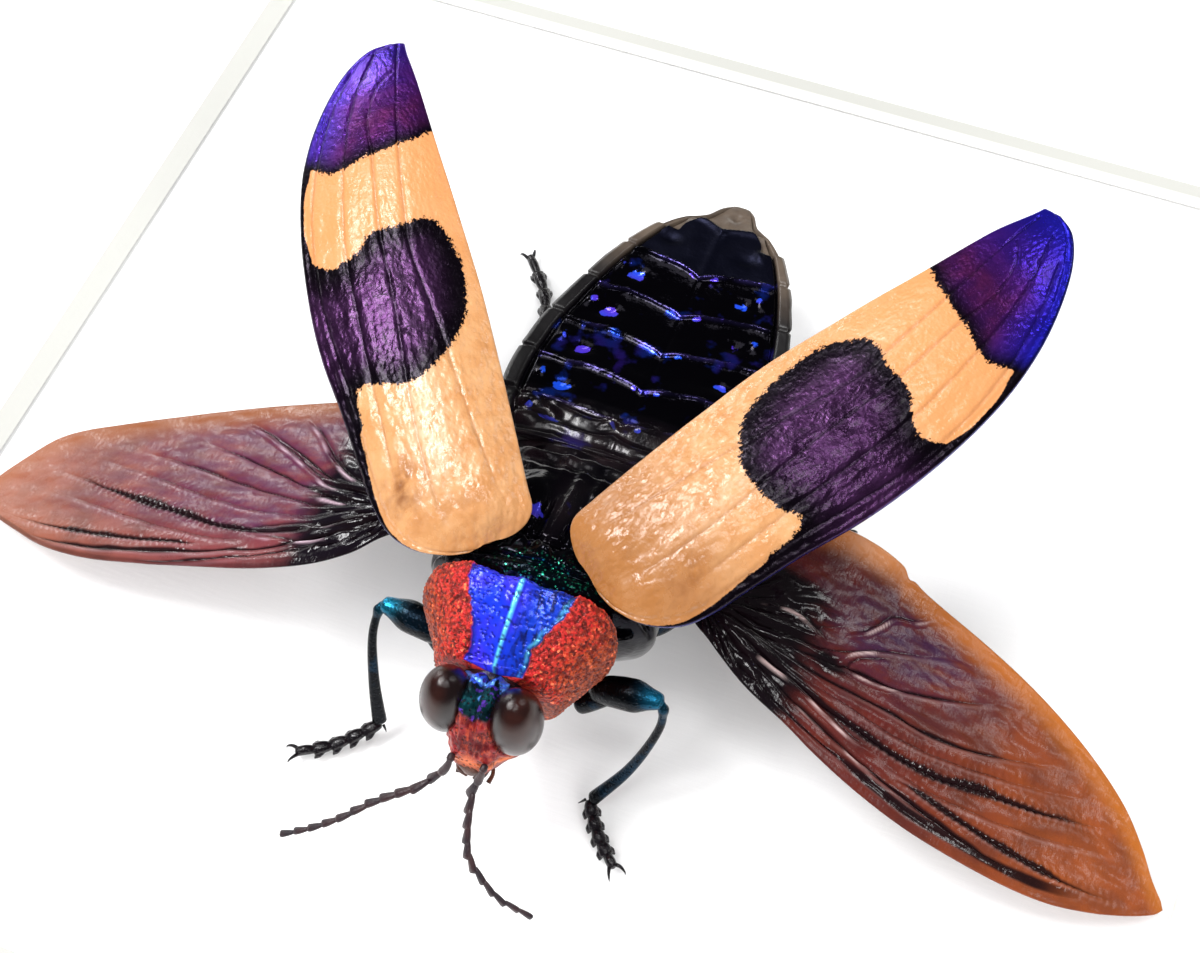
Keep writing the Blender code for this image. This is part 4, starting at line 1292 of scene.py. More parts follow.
def build_pronotum():
    grid = body_grid(PRONOTUM_STATIONS, 120, 380, 0.8)
    out, along, up = grid[..., 0], grid[..., 1], grid[..., 2]
    above = held((up - 11.5) / 1.5)
    half = smooth_values(BAND_HALF)(along)
    ragged = 0.10 * wrinkles(along * 2.6, out * 0.5, 41) + 0.07 * wrinkles(along * 6, out, 42)
    band = np.where(above > 0, half + ragged - np.abs(out), -3.0)
    on_band = held(band / 0.12 + 0.5) * above
    ridge = on_band * hill(out, 0.16) * held((along + 19.6) / 0.8)
    ridge *= held((BAND_HIND_END - along) / 0.3)
    rng = np.random.default_rng(43)
    spots = grid.reshape(-1, 3)
    pit_centres = spots[rng.choice(np.flatnonzero(on_band.ravel() > 0.9), PIT_COUNT)]
    pit_gap = nearest_gap(spots, pit_centres).reshape(out.shape)
    low, high = spots.min(axis=0) - 0.3, spots.max(axis=0) + 0.3
    count = int(np.prod(high - low) / GRAIN_PITCH ** 3)
    grain_gap = nearest_gap(spots, rng.uniform(low, high, (count, 3))).reshape(out.shape)
    pit = on_band * held(1.4 - pit_gap / PIT_RADIUS)
    hollow = held((grain_gap - 0.09) / 0.06)
    height = 0.18 * ridge - 0.24 * on_band * hill(np.abs(out) - 1.25, 0.75)
    height -= 0.05 * pit
    height += (1 - on_band) * (0.10 - 0.75 * grain_gap)
    height += 0.16 * (1 - on_band) * above
    height += (1 - on_band) * 0.12 * wrinkles(out * 0.7, along * 0.8, 44)
    height += on_band * 0.035 * wrinkles(out * 1.5, along * 1.7, 45)
    height *= held((along + 19.85) / 0.15)
    points, faces, source = raised(grid, height)
    # Where the painted highlight breaks along the band's right border.
    edge_light = np.clip(0.2 + 0.6 * wrinkles(along * 1.5, out, 46), 0, 0.7)
    cyan = (on_band * held((BAND_HIND_END - along) / 0.3)
            * np.maximum(hill(out, 0.085), edge_light * hill(band - 0.2, 0.12) * (out > 0)))
    values = at_points(source, band=band, pit=pit, cyan=cyan, hollow=hollow * (1 - on_band),
                       far_side=held(out / 1.2))
    piece = new_piece("pronotum_shield", to_frame(points), faces, pronotum_material(), values)
    fit_piece(piece, "pronotum", "pronotum")


build_pronotum()

# %% [markdown]
# The head
#
# The head hangs down in front of the pronotum: a narrow red face between two large eyes, dark teal
# on the crown with painted blue and violet glints. The eyes are smooth dark brown ovals that sit
# in it. The mouth parts are small horny plates under the face.

# %% Head, eyes and mouth
HEAD_STATIONS = [(-20.2, 2.5, 13.2, 11.0, 8.2), (-20.9, 2.9, 13.8, 10.8, 7.5),
    (-21.8, 2.7, 14.0, 10.5, 7.2), (-22.6, 2.0, 13.6, 10.2, 7.3), (-23.3, 1.55, 12.6, 9.9, 7.8),
    (-23.8, 1.3, 11.5, 9.6, 8.3), (-24.05, 0.9, 10.7, 9.5, 8.8)]
EYE_CENTRE = np.array((2.12, -21.85, 12.1))
EYE_RADII = np.array((1.58, 1.75, 2.5))


def head_material():
    material, tree, shader = new_material("head_finish", IOR=1.5)
    place = place_in_mm(tree)
    effect = use_group(tree, grain, Place=place, Scale=5.0)
    holes = use_group(tree, pits, Place=place, Scale=3.6, Size=0.34)
    red = mix(effect["Mottle"], paint(152, 30, 36), paint(84, 18, 24))
    fibres = noise_at(stretched(place, (3.0, 1.0, 1.0)), 1.6, 4.0, 0.7)
    red = mix(ramp(fibres, 0.47, 0.68), red, paint(184, 70, 44))
    crown = mix(effect["Mottle"], paint(8, 10, 22), paint(8, 66, 74))
    lengthways = stretched(place, (2.4, 0.8, 0.8))
    neck = ramp(stored(tree, "neck"), 0.0, 1.0, 0.62, 0.44)
    # Painted glints on the dark crown: light-blue streaks and violet flecks.
    crown = mix(ramp(noise_at(lengthways, 1.0), neck, plus(neck, 0.1)), crown, paint(96, 150, 240))
    crown = mix(ramp(noise_at(place, 2.3), 0.56, 0.64), crown, paint(96, 60, 180))
    colour = mix(stored(tree, "crown"), red, crown)
    colour = mix(stored(tree, "lip"), colour, paint(216, 108, 52))
    colour = mix(times(holes["Mask"], 0.7), colour, paint(40, 10, 16))
    finish_with(shader, Base_Color=colour,
                Metallic=ramp(stored(tree, "crown"), 0.0, 1.0, 0.45, 0.85),
                Roughness=ramp(effect["Mottle"], 0.0, 1.0, 0.34, 0.5))
    relief(shader, plus(effect["Height"], holes["Height"]), 0.06)
    return material


def eye_material():
    material, tree, shader = new_material("eye_finish", Roughness=0.17, IOR=1.55)
    place = place_in_mm(tree)
    effect = use_group(tree, grain, Place=place, Scale=8.0)
    colour = mix(effect["Mottle"], paint(44, 19, 15), paint(30, 12, 10))
    rim = ramp(stored(tree, "rim"), 0.35, 0.85)
    colour = mix(rim, colour, paint(18, 8, 9))
    finish_with(shader, Base_Color=colour)
    relief(shader, cells_at(place, 22.0), 0.006)
    return material


def build_head():
    grid = body_grid(HEAD_STATIONS, 130, 220, 0.8)
    out, along, up = grid[..., 0], grid[..., 1], grid[..., 2]
    front = held((-22.2 - along) / 0.6)
    above = held((up - 10.0) / 1.0)
    height = 0.12 * wrinkles(out * 2.0, up * 1.6 + along, 51)
    height += 0.09 * wrinkles(out * 5.0, up * 2.2 + along * 1.5, 52)
    height -= 0.22 * above * hill(out, 0.18) * held((up - 12.0) / 0.8)
    height += 0.14 * above * hill(np.abs(out) - 0.5, 0.3)
    height -= 0.18 * front * hill(up - 9.9, 0.12) * hill(out, 1.0)
    folds = hill((along + 20.9 + 0.25 * np.cos(out * 2)) / 0.16, 1.0)
    height -= 0.16 * above * folds
    reach = np.stack([np.linalg.norm((grid - EYE_CENTRE * (side, 1, 1)) / EYE_RADII, axis=2)
                      for side in (1, -1)]).min(axis=0)
    height += 0.10 * hill(reach - 1.1, 0.07)
    points, faces, source = raised(grid, height)
    notch = 0.35 * hill(out, 0.2) + 0.12 * wrinkles(out * 3.0, up * 2.0, 53)
    crown = held((up + notch - 13.0) / 0.2)
    crown = np.maximum(crown, held((along + 21.2) / 0.4))
    lip = front * hill(up - 9.5, 0.35)
    values = at_points(source, crown=crown, neck=held((along + 21.6) / 0.5), lip=lip)
    piece = new_piece("head_capsule", to_frame(points), faces, head_material(), values)
    fit_piece(piece, "head", "head")


def build_eye(name, side, finish, node):
    mesh = bpy.data.meshes.new(name)
    work = bmesh.new()
    bmesh.ops.create_icosphere(work, subdivisions=5, radius=1.0)
    unit = np.array([vertex.co for vertex in work.verts])
    work.to_mesh(mesh)
    work.free()
    faces = [list(face.vertices) for face in mesh.polygons]
    bpy.data.meshes.remove(mesh)
    points = to_frame(EYE_CENTRE + unit * EYE_RADII, side)
    outer_pole = np.array((0.75, -0.35, 0.35))
    outer_pole /= np.linalg.norm(outer_pole)
    values = {"rim": 1 - held(unit @ outer_pole)}
    piece = new_piece(name, points, faces, finish, values)
    fit_piece(piece, "eye", node)


def mouth_part(path, widths, heights):
    rings = tube_rings(points_along(path, 24), smooth_values(widths)(np.linspace(0, 1, 24)),
                       smooth_values(heights)(np.linspace(0, 1, 24)), 20)
    return loft_parts(rings)[:2]


def build_mouth():
    """An upper lip, two jaws and two palps."""
    finish = plain_material("mouth_finish", grain, 6.0, (paint(96, 48, 28), paint(40, 18, 14)),
                            (0.25, 0.45), 0.04, 1.5)
    parts = [mouth_part([(0, -23.4, 9.4), (0, -23.95, 8.95), (0, -24.15, 8.4)],
                        [(0, 0.5), (0.5, 0.75), (1, 0.3)], [(0, 0.4), (0.6, 0.22), (1, 0.1)])]
    for side in (1, -1):
        jaw = [(0.75 * side, -23.2, 8.6), (0.62 * side, -23.8, 8.3), (0.2 * side, -24.1, 7.95)]
        parts.append(mouth_part(jaw, [(0, 0.35), (0.5, 0.32), (1, 0.06)],
                                [(0, 0.35), (0.5, 0.3), (1, 0.06)]))
        palp = [(0.85 * side, -22.7, 7.9), (1.05 * side, -23.2, 7.5), (0.95 * side, -23.7, 7.2)]
        parts.append(mouth_part(palp, [(0, 0.14), (0.5, 0.12), (1, 0.15)],
                                [(0, 0.14), (0.5, 0.12), (1, 0.15)]))
    points, faces = join_parts(parts)
    piece = new_piece("mouth_parts", to_frame(points), faces, finish)
    fit_piece(piece, "head")


build_head()
eye_finish = eye_material()
build_eye("left_compound_eye", 1, eye_finish, "left_eye")
build_eye("right_compound_eye", -1, eye_finish, "right_eye")
build_mouth()

# %% [markdown]
# The hind thorax
#
# Between the wing cases the thorax is glossy black. Behind the small scutellum a fan of strands
# runs back along a middle groove, with two rounded lobes beside it. Towards the abdomen the skin
# is soft and brown, in wavy cross folds.

# %% Thorax
THORAX_STATIONS = [(-14.5, 4.9, 14.6, 11.6, 8.0), (-13.8, 6.5, 15.0, 11.0, 6.6),
    (-12.8, 7.2, 15.1, 10.4, 5.0), (-11.4, 6.9, 15.0, 9.6, 3.8), (-8.4, 6.7, 14.6, 9.2, 3.2),
    (-6.0, 6.9, 13.9, 9.2, 3.2), (-4.2, 7.0, 13.0, 9.2, 3.8), (-3.2, 6.7, 12.2, 9.2, 4.6)]


def black_gloss_material(name, patch_colours, cover):
    """Glossy black cuticle with painted glints, blue patches and spots in place of the metallic shine,
    and brown skin where it is soft.
    """
    material, tree, shader = new_material(name, IOR=1.55)
    place = place_in_mm(tree)
    effect = use_group(tree, grain, Place=place, Scale=3.0)
    patches = use_group(tree, shine, Place=place, Scale=0.55, Cover=cover)
    # The colour of the painted glints.
    glow = mix(patches["Hue"], patch_colours[0], patch_colours[1])
    broken = times(minus(noise_at(place, 1.8, 3.0), 0.5), 1.1)
    flake = ramp(plus(stored(tree, "glow"), broken), 0.5, 0.62)
    # Painted sheen in broad patches, and sharper painted glints.
    patch = times(patches["Patch"], 0.35)
    share = calculate("MAXIMUM", patch, flake, clamp=True)
    colour = mix(share, paint(7, 5, 14), glow)
    # Painted highlights along the plates' hind ridges.
    colour = mix(times(stored(tree, "ridge_line"), 0.5), colour, paint(84, 72, 150))
    skin = mix(effect["Mottle"], paint(36, 23, 27), paint(10, 6, 10))
    colour = mix(stored(tree, "skin"), colour, skin)
    dots = use_group(tree, pits, Place=place, Scale=4.2, Size=0.36)
    speckle = mix(dots["Mask"], paint(8, 26, 34), paint(40, 190, 150))
    colour = mix(stored(tree, "teal"), colour, speckle)
    unmetal = plus(times(stored(tree, "skin"), 0.8), times(flake, 0.5))
    rough = ramp(effect["Mottle"], 0.0, 1.0, 0.07, 0.15)
    finish_with(shader, Base_Color=colour,
                Metallic=minus(0.85, unmetal, clamp=True),
                Roughness=plus(rough, times(stored(tree, "skin"), 0.1)))
    holes = use_group(tree, pits, Place=place, Scale=3.4, Size=0.34)
    dimples = times(holes["Height"], stored(tree, "teal"))
    relief(shader, plus(times(effect["Height"], 0.35), dimples), 0.06)
    return material


def build_thorax():
    grid = body_grid(THORAX_STATIONS, 220, 300, 0.9)
    out, along, up = grid[..., 0], grid[..., 1], grid[..., 2]
    above = held((up - 10.5) / 1.2)
    side_out = np.abs(out)
    height = np.zeros(out.shape)
    height += above * 0.45 * hill(side_out - 2.5, 1.3) * hill(along + 8.6, 2.3)
    height -= above * 0.55 * hill(side_out - 0.95, 0.3) * hill(along + 9.2, 2.4)
    fan = side_out / np.maximum(0.5 + 0.20 * (along + 12.0), 0.3)
    strands = hill(fan, 1.1) * np.cos(fan * 9.0) * held((along + 12.0) / 1.5)
    height += above * 0.16 * strands * hill(along + 8.0, 3.2)
    height += above * 0.40 * hill(out, 0.9) * hill(along + 12.3, 0.6)
    height -= above * 0.35 * hill(along + 11.3 + 0.3 * np.cos(out), 0.22) * hill(out, 3.0)
    height += above * 0.30 * hill(side_out - 3.4, 0.7) * hill(along + 12.0, 0.6)
    height -= above * 0.30 * hill(along + 13.2, 0.2)
    height += above * 0.14 * wrinkles(out * 2.6, along * 2.6, 65) * hill(along + 12.2, 1.0)
    waves = along * 4.4 + 0.9 * np.sin(side_out * 0.9) + wrinkles(out * 0.6, along, 61)
    soft = held((along + 6.4) / 1.4)
    height += above * soft * 0.20 * np.cos(waves)
    height += 0.08 * wrinkles(out * 0.8, along * 0.8, 62) + 0.04 * wrinkles(out * 2, along * 2, 63)
    points, faces, source = raised(grid, height)
    ragged = 0.5 + 0.5 * wrinkles(out * 1.2, along * 1.5, 64)
    skin = above * np.maximum(soft * ragged, 0.55 * hill(fan, 0.8) * hill(along + 8.5, 2.5))
    # Painted blue glints beside the middle groove.
    glow = above * 0.8 * hill(side_out - 1.5, 0.5) * hill(along + 9.8, 0.8)
    teal = above * hill(along + 13.6, 0.8) * hill(out - 0.8, 2.2)
    values = at_points(source, skin=skin, glow=glow, teal=teal, ridge_line=np.zeros(out.shape))
    finish = black_gloss_material("thorax_finish", (paint(46, 50, 200), paint(60, 34, 120)), 0.35)
    piece = new_piece("thorax_back", to_frame(points), faces, finish, values)
    fit_piece(piece, "thorax", "hind_thorax")


build_thorax()

# %% [markdown]
# The abdomen
#
# The abdomen is a flat-backed boat of overlapping plates. Each plate's hind border is a raised
# ridge that dips towards the head at the midline, with a painted highlight along it. Between the
# ridges the plates are like black glass, with painted blue glints in hollows at their sides. A
# dull brown flange runs round the edge.

# %% Abdomen
ABDOMEN_STATIONS = [(-2.85, 7.2, 12.2, 11.2, 4.6), (0.0, 8.0, 11.5, 10.9, 4.2),
    (3.3, 8.4, 10.9, 10.6, 4.3), (6.6, 8.2, 10.4, 10.4, 4.7), (9.6, 7.5, 10.1, 10.3, 5.2),
    (12.4, 6.7, 10.0, 10.2, 5.8), (15.2, 5.6, 10.0, 10.1, 6.4), (17.6, 4.3, 9.9, 9.9, 6.9),
    (19.2, 3.0, 9.6, 9.6, 7.2), (20.2, 1.8, 9.3, 9.2, 7.4), (21.4, 1.2, 8.9, 8.8, 7.6),
    (22.1, 0.6, 8.5, 8.4, 7.8)]
PLATE_BORDERS = [0.6, 4.2, 7.8, 11.4, 15.0]
LAST_PLATE_END = 19.2
ABDOMEN_BEND = 0.5
FLANGE_SHARE = 0.87
ABDOMEN_ROWS = 300
BACK_POINTS = 200
BELLY_POINTS = 70


def abdomen_grid(rows, over, under):
    """Rings of the abdomen: over points across its back, then under points below."""
    values = [smooth_values([(s[0], s[i]) for s in ABDOMEN_STATIONS]) for i in range(1, 5)]
    along = np.linspace(ABDOMEN_STATIONS[0][0], ABDOMEN_STATIONS[-1][0], rows)[:, None]
    half_width, top, edge, bottom = (value(along) for value in values)
    bend = ABDOMEN_BEND * np.maximum(along, 0) / ABDOMEN_STATIONS[-1][0]
    share = np.linspace(-1, 1, over)[None, :]
    rim = np.abs(share) ** 3
    back_up = top * (1 - rim) + edge * rim
    angle = np.linspace(0, math.pi, under + 2)[None, 1:-1]
    belly_up = edge - 0.5 - (edge - 0.5 - bottom) * np.sin(angle)
    out = np.hstack([share * half_width, np.cos(angle) * half_width]) + bend
    up = np.hstack([back_up, belly_up])
    shares = np.hstack([np.broadcast_to(share, (rows, over)),
                        np.broadcast_to(np.cos(angle), (rows, under))])
    return np.dstack([out, np.broadcast_to(along, out.shape), up]), shares


def abdomen_material():
    material = black_gloss_material("abdomen_finish", (paint(24, 84, 240), paint(88, 52, 214)), 0.42)
    tree = material.node_tree
    shader = tree.nodes["Principled BSDF"]
    place = place_in_mm(tree)
    before = shader.inputs["Base Color"].links[0].from_socket
    pale_horn = mix(noise_at(place, 0.9, 4.0), paint(112, 98, 84), paint(54, 44, 40))
    hind_end = ramp(axes_of(place)[1], 11.0, 17.0)
    horn = mix(hind_end, paint(12, 9, 12), pale_horn)
    dull = mix(stored(tree, "dull"), before, paint(12, 14, 34))
    wire(mix(stored(tree, "horn"), dull, horn), shader.inputs["Base Color"])
    metal = shader.inputs["Metallic"].links[0].from_socket
    plain = minus(1.0, stored(tree, "horn"), clamp=True)
    wire(times(metal, plain), shader.inputs["Metallic"])
    rough = shader.inputs["Roughness"].links[0].from_socket
    matte = calculate("MAXIMUM", stored(tree, "horn"), stored(tree, "dull"))
    wire(plus(rough, times(matte, 0.26)), shader.inputs["Roughness"])
    return material


def build_abdomen():
    over = BACK_POINTS
    grid, share = abdomen_grid(ABDOMEN_ROWS, over, BELLY_POINTS)
    out, along = grid[..., 0], grid[..., 1]
    back = np.zeros(out.shape)
    back[:, :over] = 1.0
    dip = 0.9 * np.exp(-np.abs(out - 0.3) / 1.4) + 0.12 * wrinkles(out * 0.8, along * 0.1, 71)
    flat_part = held((FLANGE_SHARE - np.abs(share)) / 0.03) * back
    place = along + dip
    borders = [-2.0] + PLATE_BORDERS + [LAST_PLATE_END + 0.2]
    height = np.zeros(out.shape)
    glow = np.zeros(out.shape)
    ridge_line = np.zeros(out.shape)
    half_width = smooth_values([(s[0], s[1]) for s in ABDOMEN_STATIONS])(along)
    for front, hind in zip(borders[:-1], borders[1:]):
        on_plate = (place >= front) & (place < hind)
        phase = held((place - front) / (hind - front))
        rise = 0.24 * phase ** 5 + 0.14 * hill(phase - 0.97, 0.05)
        height += np.where(on_plate, rise, 0.0)
        middle = front + 0.42 * (hind - front)
        # Painted blue glints in the side hollows, on the knobs and as flecks before each border, stronger
        # on the right side.
        for side in (1, -1):
            hollow = (hill(out - side * 0.56 * half_width, 0.7) * hill(place - middle, 0.45)
                      * (1.0 if side < 0 else 0.65))
            height -= 0.24 * hollow
            glow = np.maximum(glow, hollow)
            knob = hill(out - side * 0.74 * half_width, 0.4) * hill(place - middle - 0.6, 0.5)
            height += 0.18 * knob
            glow = np.maximum(glow, 0.7 * knob)
            fleck = hill(out - 0.5 - side * 0.8, 0.4) * hill(place - hind + 0.35, 0.22)
            glow = np.maximum(glow, 0.75 * fleck)
        # Where the painted ridge highlight lies, broken up by noise.
        bright = held(0.35 + 0.75 * wrinkles(out * 0.9, along * 0.4, 75))
        ridge_line = np.maximum(ridge_line, on_plate * bright * hill(phase - 0.955, 0.03))
    height *= flat_part
    height -= 0.04 * flat_part * hill(out - 0.3, 0.16) * (place < PLATE_BORDERS[-1])
    height += 0.06 * flat_part * hill(out - 0.3, 0.3) * (place > PLATE_BORDERS[-1])
    in_flange = held((np.abs(share) - FLANGE_SHARE) / 0.02) * back
    height -= 0.28 * back * hill(np.abs(share) - FLANGE_SHARE, 0.022)
    height += in_flange * 0.20
    for border in PLATE_BORDERS:
        height -= in_flange * 0.20 * hill(along - border - 0.3, 0.12)
        height += 0.10 * (1 - back) * hill(along - border, 0.25)
    soft = held((1.6 - along) / 1.8) * back
    waves = along * 4.4 + 0.9 * np.sin(np.abs(out) * 0.9) + wrinkles(out * 0.6, along, 61)
    height += soft * 0.16 * np.cos(waves)
    height += 0.035 * wrinkles(out * 0.9, along * 0.9, 72)
    height += (0.008 + 0.02 * soft) * wrinkles(out * 2, along * 2, 73)
    inwards = np.abs(out - 0.4)
    lobes = np.sqrt(held(1 - ((inwards - 1.35) / 1.5) ** 2))
    plate_end = LAST_PLATE_END - 1.6 + 1.5 * np.maximum(lobes, 0.62 * (inwards < 1.35))
    tail = held((along - plate_end) / 0.14)
    last = held((place - PLATE_BORDERS[-1]) / 0.15) * (1 - tail)
    height -= 0.30 * tail * back
    height -= 0.22 * back * hill(np.hypot(out - 0.5, (along - 20.9) * 0.8), 0.35)
    fade = held((along - ABDOMEN_STATIONS[0][0]) / 0.8)
    fade *= held((ABDOMEN_STATIONS[-1][0] - along) / 0.8)
    points, faces, source = raised(grid, height * fade)
    ragged = 0.5 + 0.5 * wrinkles(out * 1.2, along * 1.5, 74)
    values = at_points(source, skin=soft * (0.35 + 0.65 * ragged),
                       glow=glow * (1 - last) * flat_part, teal=np.zeros(out.shape),
                       ridge_line=ridge_line * flat_part, horn=np.maximum(in_flange, tail),
                       dull=last * flat_part)
    piece = new_piece("abdomen_plates", to_frame(points), faces, abdomen_material(), values)
    fit_piece(piece, "abdomen", "abdomen")


build_abdomen()

# %% [markdown]
# The skin of the body's joints
#
# The body's parts are separate solids with a hair's gap between them. In the insect a soft dark
# skin joins them. Each fold of skin is a short plug, a little slimmer than its two neighbours,
# that runs from inside one into the other, so that no light shows through the gap.

# %% Joint skins
JOINT_SKINS = {
    "neck_skin": [(-20.9, 2.2, 12.9, 10.9, 8.6), (-20.0, 2.3, 13.0, 10.9, 8.5),
        (-19.3, 2.4, 13.0, 10.9, 8.6)],
    "pronotum_skin": [(-15.7, 4.6, 14.3, 11.5, 8.5), (-14.7, 4.7, 14.4, 11.5, 8.4),
        (-13.8, 4.7, 14.4, 11.5, 8.6)],
    "waist_skin": [(-3.9, 6.3, 11.8, 9.3, 5.0), (-3.0, 6.4, 11.9, 9.8, 4.9),
        (-2.1, 6.6, 11.8, 10.4, 5.0)],
}


def build_joint_skins():
    finish = bpy.data.materials["thorax_finish"]
    for name, stations in JOINT_SKINS.items():
        points, faces, source = loft_parts(body_grid(stations, 12, 90, 0.8))
        values = {label: np.zeros(len(source)) for label in ("glow", "teal", "ridge_line")}
        values["skin"] = np.ones(len(source))
        piece = new_piece(name, to_frame(points), faces, finish, values)
        fit_piece(piece, "thorax")


build_joint_skins()

# %% [markdown]
# Legs
#
# A leg is a thick thigh, a slender shin and a foot of five pointed lobes that ends in two hooked
# claws. Each piece is a tube whose width changes along it. The legs are glossy blue-black with
# pits, with patches of painted sheen and a painted teal highlight beside the knees.

# %% Legs
LEG_JOINTS = {
    "front": [(4.2, -16.9, 7.5), (5.5, -16.4, 8.8), (9.1, -16.4, 9.7), (9.0, -17.0, 7.4),
        (7.7, -18.3, 4.0), (5.7, -19.9, 1.25), (6.9, -21.6, 0.75), (8.5, -23.2, 0.65)],
    "middle": [(4.6, -9.6, 3.2), (6.0, -8.2, 4.6), (8.6, -4.8, 7.4), (9.2, -3.6, 6.4), (10.3, -1.4, 4.0),
        (11.4, 0.6, 1.25), (12.7, 2.8, 0.75), (14.0, 4.8, 0.65)],
    "hind": [(4.6, -5.6, 2.4), (5.8, -4.0, 3.2), (8.5, 2.8, 6.0), (8.8, 4.2, 5.6), (9.5, 8.0, 3.6),
        (10.2, 11.9, 1.25), (11.6, 15.9, 0.75), (14.0, 19.0, 0.65)],
}
RIGHT_FRONT_JOINTS = [(4.2, -16.8, 7.5), (5.5, -16.2, 8.8), (9.1, -16.0, 9.7), (9.3, -17.2, 7.6),
    (8.9, -18.5, 4.6), (8.3, -19.6, 1.25), (10.5, -21.7, 0.75), (12.5, -22.9, 0.65)]
TARSAL_LOBES = 5
# Sizes along a tube: share of its length, half width, half height
HIP_SIZES = [(0.15, 0.7, 0.7), (0.6, 0.62, 0.6), (0.92, 0.4, 0.4)]
THIGH_SIZES = [(0.08, 0.62, 0.62), (0.3, 0.92, 0.95), (0.6, 1.0, 1.02), (0.84, 0.66, 0.6),
    (0.96, 0.46, 0.4)]
SHIN_SIZES = [(0.05, 0.34, 0.34), (0.12, 0.26, 0.24), (0.5, 0.32, 0.27), (0.85, 0.42, 0.33),
    (0.96, 0.46, 0.34)]
SPUR_SIZES = [(0, 0.1, 0.1), (0.5, 0.07, 0.07), (1, 0.015, 0.015)]
LOBE_SIZES = [(0, 0.16, 0.12), (0.6, 0.24, 0.17), (1, 0.05, 0.04)]
CLAW_SIZES = [(0, 0.14, 0.14), (0.4, 0.11, 0.12), (1, 0.015, 0.015)]


def leg_material():
    material, tree, shader = new_material("leg_finish", IOR=1.55)
    place = place_in_mm(tree)
    effect = use_group(tree, grain, Place=place, Scale=5.0)
    holes = use_group(tree, pits, Place=place, Scale=3.8, Size=0.3)
    patches = use_group(tree, shine, Place=place, Scale=0.5, Cover=0.5)
    # Painted sheen in patches.
    colour = mix(patches["Patch"], paint(8, 11, 16), paint(12, 34, 50))
    # A painted teal highlight beside the knee.
    teal = mix(patches["Hue"], paint(20, 120, 160), paint(30, 150, 190))
    colour = mix(times(stored(tree, "knee"), 0.8), colour, teal)
    colour = mix(times(holes["Mask"], 0.6), colour, paint(6, 8, 14))
    colour = mix(stored(tree, "foot"), colour, paint(17, 13, 18))
    metal = minus(0.8, times(stored(tree, "foot"), 0.6))
    finish_with(shader, Base_Color=colour, Metallic=metal,
                Roughness=ramp(effect["Mottle"], 0.0, 1.0, 0.16, 0.28))
    relief(shader, plus(effect["Height"], holes["Height"]), 0.045)
    return material


def tube_part(path, sizes, rows, columns, finish=0.0, blunt=True):
    """A tube through a few points, sized by (share, width, height), with blunt ends or not."""
    if blunt:
        sizes = [(max(share, 0.06), *size) for share, *size in sizes]
        sizes = [(0.0, 0.05, 0.05)] + sizes + [(1.0, 0.05, 0.05)]
    shares = np.linspace(0, 1, rows)
    shares = 0.5 * shares + 0.25 * (1 - np.cos(math.pi * shares))
    line = points_along(path, 200)
    line = np.stack([np.interp(shares, np.linspace(0, 1, 200), line[:, axis])
                     for axis in range(3)], axis=1)
    widths, heights = [smooth_values([(size[0], size[i]) for size in sizes])(shares) for i in (1, 2)]
    points, faces, _ = loft_parts(tube_rings(line, widths, heights, columns))
    return points, faces, np.full(len(points), finish)


def closeness(points, spot, reach):
    return hill(np.linalg.norm(points - np.asarray(spot), axis=1), reach)


def unit(vector):
    """The same direction, 1 long."""
    return vector / np.linalg.norm(vector)


